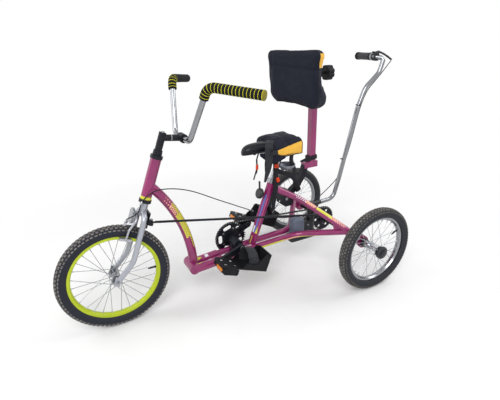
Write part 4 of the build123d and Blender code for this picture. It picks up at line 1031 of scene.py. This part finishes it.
# %% Stuffed pieces
def stuffed(name, node, body, finish, cell, cap, shrink):
    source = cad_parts[node]
    mesh = source.data.copy()
    mesh.materials.clear()
    mesh.materials.append(finish.material)
    piece = bpy.data.objects.new(name, mesh)
    bpy.context.collection.objects.link(piece)
    made = bmesh.new()
    made.from_mesh(mesh)
    bmesh.ops.remove_doubles(made, verts=made.verts, dist=1e-6)
    made.to_mesh(mesh)
    made.free()
    low, high = (np.array(c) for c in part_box(node))
    middle = (low + high) / 2
    put_points(mesh, middle + (points_of(mesh) - middle) * shrink)
    bpy.context.view_layer.objects.active = piece
    piece.select_set(True)
    remesh = piece.modifiers.new("cells", "REMESH")
    remesh.mode = "VOXEL"
    remesh.voxel_size = cell
    bpy.ops.object.modifier_apply(modifier=remesh.name)
    start = points_of(piece.data)
    cloth = piece.modifiers.new("stuffing", "CLOTH")
    for key, value in (("quality", 5), ("mass", 0.3), ("tension_stiffness", 12), ("compression_stiffness", 12),
                       ("bending_stiffness", 1.2), ("use_pressure", True), ("uniform_pressure_force", 4.0)):
        setattr(cloth.settings, key, value)
    cloth.settings.effector_weights.gravity = 0
    cloth.point_cache.frame_start = 1
    cloth.point_cache.frame_end = 20
    for number in range(1, 21):
        bpy.context.scene.frame_set(number)
    graph = bpy.context.evaluated_depsgraph_get()
    moved = points_of(piece.evaluated_get(graph).to_mesh()) - start
    piece.evaluated_get(graph).to_mesh_clear()
    piece.modifiers.remove(cloth)
    size = np.linalg.norm(moved, axis=1)[:, None]
    moved *= np.minimum(1.0, cap * MM / np.maximum(size, 1e-9))
    put_points(piece.data, start + moved)
    bpy.context.scene.frame_set(1)
    print(name, "swelled by up to", round(float(np.minimum(size, cap * MM).max()) / MM, 1), "mm")
    piece.select_set(False)
    piece.data.shade_smooth()
    smooth = piece.modifiers.new("finish", "SUBSURF")
    smooth.levels = smooth.render_levels = 1
    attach(piece, body)
    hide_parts(node)
    return piece


cushion = stuffed("seat_cover", "seat_cushion", "frame", cushion_cloth, 0.005, 8.0, 0.965)
backrest = stuffed("backrest_cover", "backrest_pad", "frame", back_cloth, 0.005, 9.0, 0.965)


# %% [markdown]
# Folds and seams are pressed into the cover after the stuffing. A crease is a shallow
# furrow: each point moves in by depth times exp(-(distance / width) squared). The seat
# cover also falls towards its sides: drop = a + (b + c forward)(y / half)^2, less on the far
# side, where it is bunched up.

# %% Creases
def crease(piece, inward, distance_of, depth, width, only=None):
    points = points_of(piece.data)
    share = np.exp(-(distance_of(points) / (width * MM)) ** 2)
    if only is not None:
        share = share * only(points)
    put_points(piece.data, points + np.array(inward)[None] * (depth * MM * share)[:, None])


PAD_OUT = np.array([math.cos(PAD_TURN), math.sin(PAD_TURN), 0.0])
PAD_SIDE = np.array([-math.sin(PAD_TURN), math.cos(PAD_TURN), 0.0])
PAD_HALF_WIDTH = 0.144
points = points_of(backrest.data)
sideways = (points - PAD_AT) @ PAD_SIDE / PAD_HALF_WIDTH
below = np.clip((PAD_AT[2] - points[:, 2]) / 0.118, 0, 1)
points += PAD_SIDE * (below * np.where(sideways < 0, -0.022 * sideways, 0.006 * sideways))[:, None]
points[:, 2] += below * np.where(sideways < 0, -0.006 * sideways, -0.026 * sideways)
put_points(backrest.data, points)


def pad_across(p):
    return (p - PAD_AT) @ PAD_SIDE


def pad_height(p):
    return p[:, 2] - PAD_AT[2]


def pad_front(p):
    """1 on the pad's front, fading to nothing at its two sides."""
    return ((p - PAD_AT) @ PAD_OUT > 0) * np.exp(-(pad_across(p) / 0.118) ** 8)


def seat_upper(p):
    return (p[:, 2] > 0.69).astype(float)


crease(backrest, -PAD_OUT, lambda p: pad_height(p) - 0.042 + 0.012 * (pad_across(p) / 0.14), 7.0, 7.0, pad_front)
crease(backrest, -PAD_OUT, lambda p: pad_height(p) - 0.022 - 0.02 * (pad_across(p) / 0.14), 2.0, 14.0, pad_front)
crease(backrest, -PAD_OUT, lambda p: pad_across(p) + 0.108, 2.5, 4.0, pad_front)
points = points_of(cushion.data)
SEAT_LOW, SEAT_HIGH = 0.640, 0.727
forward_share = (points[:, 0] - x_at(240)) / 0.146
height_share = np.clip((points[:, 2] - SEAT_LOW) / (SEAT_HIGH - SEAT_LOW), 0, 1)
side_share = np.where(points[:, 1] > 0, 1.0, 0.55) * (points[:, 1] / 0.096) ** 2
points[:, 2] -= height_share * (0.013 + (0.006 + 0.028 * forward_share) * side_share)
put_points(cushion.data, points)
DOWN = (0, 0, -1)
crease(cushion, DOWN, lambda p: p[:, 1] - 0.05, 2.5, 5.0, seat_upper)
crease(cushion, DOWN, lambda p: p[:, 1] + 0.05, 2.5, 5.0, seat_upper)
crease(cushion, DOWN, lambda p: p[:, 0] - x_at(318), 3.0, 12.0, seat_upper)
print("creases", 6)


# %% [markdown]
# Piping is a thin cord sewn into a seam. Its line is planned on the flat shape and then
# dropped to the nearest point of the swollen cover, so it always lies in the cloth.

# %% Piping
def piping(name, piece, plan, radius, finish, lift=0.3):
    """Nearest surface point + normal times lift, carried as a round section."""
    tree = BVHTree.FromObject(piece, bpy.context.evaluated_depsgraph_get())
    place, out = (np.array(part) for part in zip(*[tree.find_nearest(Vector(p))[:2] for p in plan]))
    line = place + out * lift * MM
    line = (np.roll(line, 1, 0) + 2 * line + np.roll(line, -1, 0)) / 4
    around = ring_outline(radius, 8) * MM
    run = unit(np.roll(line, -1, 0) - np.roll(line, 1, 0))
    out = unit(out - run * (out * run).sum(1)[:, None])
    third = np.cross(run, out)
    points = line[:, None] + out[:, None] * around[None, :, :1] + third[:, None] * around[None, :, 1:]
    return mesh_piece(name, points, grid_faces(len(line), 8, True, True), finish, "frame")


def rounded_loop(half_w, low, high, corner_high, corner_low, count=160):
    """A rounded rectangle as (across, up): four arcs joined by straight sides."""
    corners = [(half_w, high, corner_high, 0), (-half_w, high, corner_high, 90), (-half_w, low, corner_low, 180),
               (half_w, low, corner_low, 270)]
    loop = []
    for x, z, r, start in corners:
        a = np.radians(np.linspace(start, start + 90, 10))
        loop.append(np.stack([x - math.copysign(r, x) + r * np.cos(a),
                              z - math.copysign(r, z - (low + high) / 2) + r * np.sin(a)], 1))
    loop = np.concatenate(loop + [loop[0][:1]])
    along = lengths(loop)
    return sample(np.linspace(0, along[-1], count, endpoint=False), along, loop)


loop = rounded_loop(143, 844, 1080, 28, 52)
edge = PAD_AT[None] * [1, 1, 0] + PAD_OUT * 27 * MM + PAD_SIDE * loop[:, :1] * MM + np.array([0, 0, MM]) * loop[:, 1:]
piping("backrest_piping", backrest, edge, 1.9, webbing)
side_edge = np.array([at(x, 97, z + (z - 640) / 72 * (6 - 0.19 * (x - 240)))
                      for x, z in rounded_loop(66, -26, 40, 6, 6, 90) + [312, 668]])
piping("cushion_piping_left", cushion, side_edge, 1.5, webbing)
piping("cushion_piping_right", cushion, side_edge * [1, -1, 1], 1.5, webbing)
print("piping loops", 3)


# %% [markdown]
# The rider's belts hang loose from the saddle and the post. Each is webbing: a thin band
# carried along a smooth line, with the band's flat facing outwards. Buckles and end
# tongues are small moulded blocks with rounded edges.

# %% Belts
def belt(name, points, radii, width, side, finish=None, thick=1.8, tail=0.0):
    """A band along a smooth line. Over the last part its width falls to (1 - tail) of itself."""
    path = smooth_path([at(*p) for p in points], radii, 3.0)
    piece = swept(name, path, band_outline(width, thick), side, finish or webbing, "frame")
    if tail:
        rings = points_of(piece.data).reshape(len(path), -1, 3)
        share = np.clip(np.linspace(0, 1, len(path)) * 3.0 - 2.0, 0, 1)[:, None, None] * tail
        put_points(piece.data, rings + (path[:, None] - rings) * share)
    return piece


def moulded(name, centre, size, along, side, finish, body="frame", ease=0.3):
    """A superellipse block: |a|^4 + |b|^4 = 1 in section, swelling over its length."""
    along = unit(along)
    side = unit(side - along * (np.array(side, float) @ along))
    up = np.cross(along, side)
    u = np.linspace(-1, 1, 11)
    full = (1 - np.abs(u) ** 6) ** 0.25 * (1 - ease) + ease
    full[[0, -1]] *= 0.82
    w, h = (np.sign(c) * np.abs(c) ** 0.5 for c in circle(24))
    l, b, t = (np.array(size) / 2) * MM
    points = (np.array(centre) + along * (u * l)[:, None, None] + side * (full[:, None] * w * b)[..., None]
              + up * (full[:, None] * h * t)[..., None])
    piece = mesh_piece(name, points, tube_faces(11, 24), finish, body)
    piece.data.set_sharp_from_angle(angle=math.radians(50))
    return piece


belt("belt_over_side", [(398, 62, 716), (411, 82, 710), (416, 85, 692), (412, 78, 640), (410, 62, 575), (414, 44, 522)],
     [6, 8, 40, 80], 34, (0.9, -0.43, 0), strap_grey, tail=0.7)
belt("belt_thin", [(448, 52, 668), (462, 58, 640), (462, 60, 606), (470, 60, 580), (480, 60, 552)], [20, 24, 24],
     14, (0.8, 0.6, 0))
moulded("buckle_red", at(462, 60, 606), (26, 17, 8), (0.02, 0, -1), (0.8, 0.6, 0), clip_red)
moulded("buckle_tongue", at(466, 60, 586), (20, 14, 6), (0.25, 0, -1), (0.8, 0.6, 0), gloss_black)
belt("belt_down", [(352, 34, 628), (352, 36, 575), (354, 39, 478), (361, 31, 400), (361, 25, 345)], [60, 90, 80],
     27, (1, 0.0, 0.1), tail=0.45)
belt("belt_across", [(352, 32, 566), (318, 36, 548), (270, 32, 530), (232, 28, 486), (212, 26, 456)], [40, 50, 60],
     22, (0.3, 0.1, 1))
belt("belt_loop", [(250, 20, 640), (262, 24, 596), (240, 26, 540), (236, 24, 480), (226, 22, 446)], [40, 60, 50],
     26, (1, 0.2, 0.1))
moulded("belt_end_block", at(222, 24, 450), (42, 30, 12), (-0.35, 0, -1), (1, 0, -0.2), matte_black)
moulded("belt_clip_red", at(352, 42, 588), (22, 22, 8), (0, 0, -1), (1, 0, 0), clip_red)
moulded("belt_clip_low", at(344, 42, 520), (24, 16, 8), (-0.3, 0, -1), (1, 0, 0), clip_red)
moulded("belt_slider", at(398, 98, 668), (20, 40, 6), (0, 0, -1), (1, 0.2, 0), gloss_black)
print("belts", 5)


# %% [markdown]
# Loose cloth flaps are sheets between two smooth edges. Each has a real thickness: the
# grid is pushed both ways along its normals and closed round its rim.

# %% Cloth flaps
def flap(name, upper, lower, thick, finish):
    """Point (i, v) = upper(i)(1 - v) + lower(i) v, plus a slight outward belly sin(pi v)."""
    curves = []
    for edge in (upper, lower):
        edge = smooth_path([at(*p) for p in edge], [24.0] * (len(edge) - 2), 3.0)
        along = lengths(edge)
        curves.append(sample(np.linspace(0, along[-1], 40), along, edge))
    v = np.linspace(0, 1, 9)[None, :, None]
    sheet = curves[0][:, None] * (1 - v) + curves[1][:, None] * v
    normal = unit(np.cross(np.gradient(sheet, axis=0), np.gradient(sheet, axis=1)))
    sheet = sheet + normal * np.sin(np.pi * v) * 2.0 * MM
    front, back_side = sheet + normal * thick / 2 * MM, sheet - normal * thick / 2 * MM
    count = 40 * 9
    faces = [*grid_faces(40, 9).tolist(), *(grid_faces(40, 9, start=count)[:, ::-1]).tolist()]
    rim = [*range(0, 9), *range(17, count, 9), *range(count - 2, count - 10, -1), *range(count - 18, 0, -9)]
    faces += [[a, b, b + count, a + count] for a, b in zip(rim, rim[1:] + rim[:1])]
    return mesh_piece(name, np.stack([front, back_side]), faces, finish, "frame")


for side, label in ((1, "left"), (-1, "right")):
    upper, lower = ([(x, side * y, z) for x, y, z in edge] for edge in (
        ((448, 60, 664), (420, 76, 668), (394, 90, 668), (366, 98, 654), (338, 98, 648)),
        ((444, 56, 652), (422, 64, 632), (398, 78, 613), (368, 93, 624), (338, 97, 638))))
    flap("cover_skirt_" + label, upper, lower, 2.4, back_cloth)
moulded("post_wrap", at(128, 0, 584), (24, 52, 44), (0.12, 0, 1), (1, 0, 0), webbing)
flap("post_wrap_tail", [(148, 21, 596), (176, 20, 590), (204, 16, 580)],
     [(148, 22, 572), (176, 20, 573), (204, 16, 574)], 2.2, webbing)
print("flaps", 3)


# %% [markdown]
# Small hardware makes the machine read as built, not drawn: bolts, nuts, clamps, cable
# ties and reflectors. Each is turned or swept from a short profile.

# %% Bolts and fittings
for side, label in ((1, "left"), (-1, "right")):
    turned("crank_cap_" + label, at(555, side * 73, 238), (0, side, 0),
           [(0, 10), (1.5, 10), (2.5, 8), (2.5, 4), (1.2, 3.5)], bolt_steel, "crank", 24)
    turned("hub_cap_ring_" + label, REAR_CENTRES[label] + np.array([0, side * 52 * MM, 0]), (0, side, 0),
           [(-0.5, 24), (0.8, 22), (0.8, 17), (2.2, 15), (2.4, 4)], gloss_black, "rear_wheel_" + label, 40)
    for k, (x, z) in enumerate(((42, 30), (20, -18), (76, 62))):
        bolt(f"carrier_bolt_{label}_{k}", at(x * 0.8, side * 267.2, 203 + z * 0.8), (0, side, 0), 4.5, "frame")
bolt("stem_bolt", on_steering(0, 0, STEM_TOP), UP, 6.5, "steering")
reach_way = on_steering(-82, 0, STEM_TOP - 2) - on_steering(0, 0, STEM_TOP - 22)
turned("stem_ring", on_steering(0, 0, STEM_TOP - 22) + reach_way * 0.45, reach_way,
       [(-1.5, 12.5), (-1.5, 13.6), (1.5, 13.6), (1.5, 12.5)], bolt_steel, "steering")
turned("headset_nut_ring", on_steering(0, 0, 541), UP, [(-1, 17.0), (0, 19.0), (3, 19.0), (4, 17.0)],
       gloss_black, "steering")
bolt("stem_clamp_bolt", on_steering(-98, 10, STEM_TOP - 12), -AHEAD, 4.5, "steering")
bolt("brake_bolt", on_steering(20, 0, 276), AHEAD, 5, "steering")
bolt("rod_bolt", on_steering(-24, 60, 289), UP, 5, "steering")
for side, label in ((1, "left"), (-1, "right")):
    bolt("pad_nut_" + label, on_steering(46, side * 31, 179), np.array([0, side, 0]), 4.2, "steering")
bolt("clamp_bolt", at(290, 34, 410), (0, 1, 0), 6.5, "frame")
bolt("clamp_bolt_far", at(290, -34, 410), (0, -1, 0), 6.5, "frame")
bolt("pivot_bolt_low", at(150, 0, 158), (0, 0, -1), 6, "frame")
bolt("pivot_bolt_side", at(147, 18, 228), (0, 1, 0), 4, "frame")
for k in range(5):
    angle = 2 * math.pi * (k + 0.5) / 5
    turned(f"chainring_bolt_{k}", at(555 + 47 * math.cos(angle), -48.7, 238 + 47 * math.sin(angle)), (0, 1, 0),
           [(0, 4.5), (1.4, 4.5), (2.0, 3.6), (2.0, 1.0)], bolt_steel, "crank", 18)
for k, angle in enumerate((0.4, 2.5, 4.6)):
    turned(f"sprocket_bolt_{k}", at(31 * math.cos(angle), -48.7, 203 + 31 * math.sin(angle)), (0, 1, 0),
           [(0, 3.6), (1.2, 3.6), (1.8, 2.6), (1.8, 1.0)], bolt_steel, "sprocket", 18)
bolt("knob_cap", at(36, 0, 970), (-1, 0, 0), 8, "frame", gloss_black)
rod_line = smooth_path([at(366, 25, 351), at(321, 27, 408)], [], 8.0)
swept("thin_rod", rod_line, ring_outline(2.6, 12), (0, 1, 0), chrome, "frame")
print("fittings placed")


# %% [markdown]
# Each foot plate is screwed to its pedal and carries an amber reflector in front. Its
# places are given in the pedal's own tilted frame and turned with it.

# %% Pedal details
CRANK_LENGTH, CRANK_TURN = 108, math.radians(19.0)
TILT = {1: math.radians(22.0), -1: math.radians(27.0)}


def pedal_point(side, x, y, z):
    """Along, across and up from the pedal's pin: pin + x (cos t, 0, sin t) + z (-sin t, 0, cos t)."""
    tilt = TILT[side]
    px = 555 + side * CRANK_LENGTH * math.cos(CRANK_TURN) + x * math.cos(tilt) - z * math.sin(tilt)
    pz = 238 - side * CRANK_LENGTH * math.sin(CRANK_TURN) + x * math.sin(tilt) + z * math.cos(tilt)
    return at(px, side * (132 + y), pz)


for side, label in ((1, "left"), (-1, "right")):
    forward = np.array([math.cos(TILT[side]), 0, math.sin(TILT[side])])
    plate_up = np.array([-math.sin(TILT[side]), 0, math.cos(TILT[side])])
    body = "pedal_" + label
    for k, (x, y) in enumerate(((30, -22), (30, 24), (-16, -20), (-16, 26))):
        turned(f"sole_screw_{label}_{k}", pedal_point(side, x, y, 19), plate_up,
               [(0, 6.5), (1.2, 6.0), (2.4, 3.6), (2.6, 1.0)], bolt_steel, body, 20)
    moulded("pedal_reflector_" + label, pedal_point(side, 47.5, 10, -2), (56, 16, 6), (0, 1, 0), plate_up, amber, body)
    moulded("pedal_reflector_frame_" + label, pedal_point(side, 45.5, 10, -2), (64, 22, 5), (0, 1, 0), plate_up,
            gloss_black, body)
    for k, y in enumerate((-30, -10, 10, 30)):
        line = np.array([pedal_point(side, x, y, 19.6) for x in np.linspace(-40, 40, 9)])
        swept(f"sole_rib_{label}_{k}", line, band_outline(5, 2.0), (0, 1, 0), matte_black, body)
    a = np.radians(np.linspace(-4, 184, 60))
    lean = lambda t: 22 * max(math.sin(t), 0.0) ** 1.5
    arc = np.array([pedal_point(side, -99 + lean(t), 49 * math.cos(t), 22 + 77 * math.sin(t)) for t in a])
    strap = swept("strap_band_" + label, arc, band_outline(52, 2.6), forward, strap_grey, body)
    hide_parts("foot_strap_" + label)
    for k, x in enumerate((-121.5, -76.5)):
        edge = np.array([pedal_point(side, x + lean(t), 50.4 * math.cos(t), 22 + 78.4 * math.sin(t)) for t in a[4:-4]])
        swept(f"strap_edge_{label}_{k}", edge, ring_outline(0.9, 8), forward, webbing, body)
    moulded("strap_buckle_" + label, pedal_point(side, -92, 46.5, 56), (24, 56, 7), plate_up, forward,
            gloss_black, body)
print("pedal details", 2)


# %% [markdown]
# The push handle's rubber sleeve has moulded ribs at both ends. Cable ties hold the cable
# to the tube, one with its cut tail standing out.

# %% Handle details
for k, y in enumerate((-52, -57, -62, -138, -143, -148)):
    turned(f"sleeve_rib_{k}", at(-262, y, 1023), (0, -1, 0), [(-1.6, 17.0), (-0.8, 18.7), (0.8, 18.7), (1.6, 17.0)],
           matte_black, "attendant_handle", 32)
turned("sleeve_cap", at(-262, -150, 1023), (0, -1, 0), [(-2, 17.4), (0, 18.6), (2.5, 17.6), (4, 11), (4.4, 2)],
       matte_black, "attendant_handle", 32)
blade = smooth_path([at(-262, -46, 1044), at(-296, -38, 1042), at(-330, -18, 1024), at(-350, -6, 1006)], [30, 30], 3.0)
swept("lever_blade", blade, band_outline(20, 5), (0.4, 1, 0), gloss_black, "attendant_handle")
TIES = (((-160, -1, 800), (-0.3, 0, 1)), ((-87, -6, 534), (-0.25, 0, 0.97)))
for k, (place, run) in enumerate(TIES):
    run = unit(run)
    cosines, sines = circle(40)
    centre = at(*place) + np.array([0.008, 0, 0.002])
    ring = np.outer(cosines * 14.5 * MM, np.cross(run, (0, 1, 0))) + np.outer(sines * 12.2 * MM, (0, 1, 0))
    points = (centre + ring[:, None] + run * (np.array([-1.8, 1.8, 1.8, -1.8]) * MM)[None, :, None]
              + unit(ring)[:, None] * (np.array([0, 0, 1.1, 1.1]) * MM)[None, :, None])
    mesh_piece(f"cable_tie_{k}", points, grid_faces(40, 4, True, True), gloss_black, "attendant_handle")
tail = smooth_path([at(-151, 12, 803), at(-147, 18, 812), at(-150, 26, 826)], [12], 2.0)
swept("cable_tie_tail", tail, band_outline(3.6, 1.1), (1, 0, 0), gloss_black, "attendant_handle")
for k, (x, y, z) in enumerate(((572, -5, 436), (446, -22, 362))):
    turned(f"cable_clip_{k}", at(x, y, z), (0.86, 0.1, 0.5), [(-4, 2.4), (-4, 3.4), (4, 3.4), (4, 2.4)], bolt_steel,
           "frame", 20)
turned("cable_stop_fork", on_steering(63, 25, 250.5), UP, [(0, 2.4), (0, 3.8), (9, 3.8), (12, 2.6)], bolt_steel,
       "steering", 20)
turned("cable_stop_head", on_steering(20, 26, 333), UP, [(0, 2.3), (0, 4.2), (12, 4.2), (14, 2.6)], bolt_steel,
       "frame", 20)
print("ties", len(TIES))
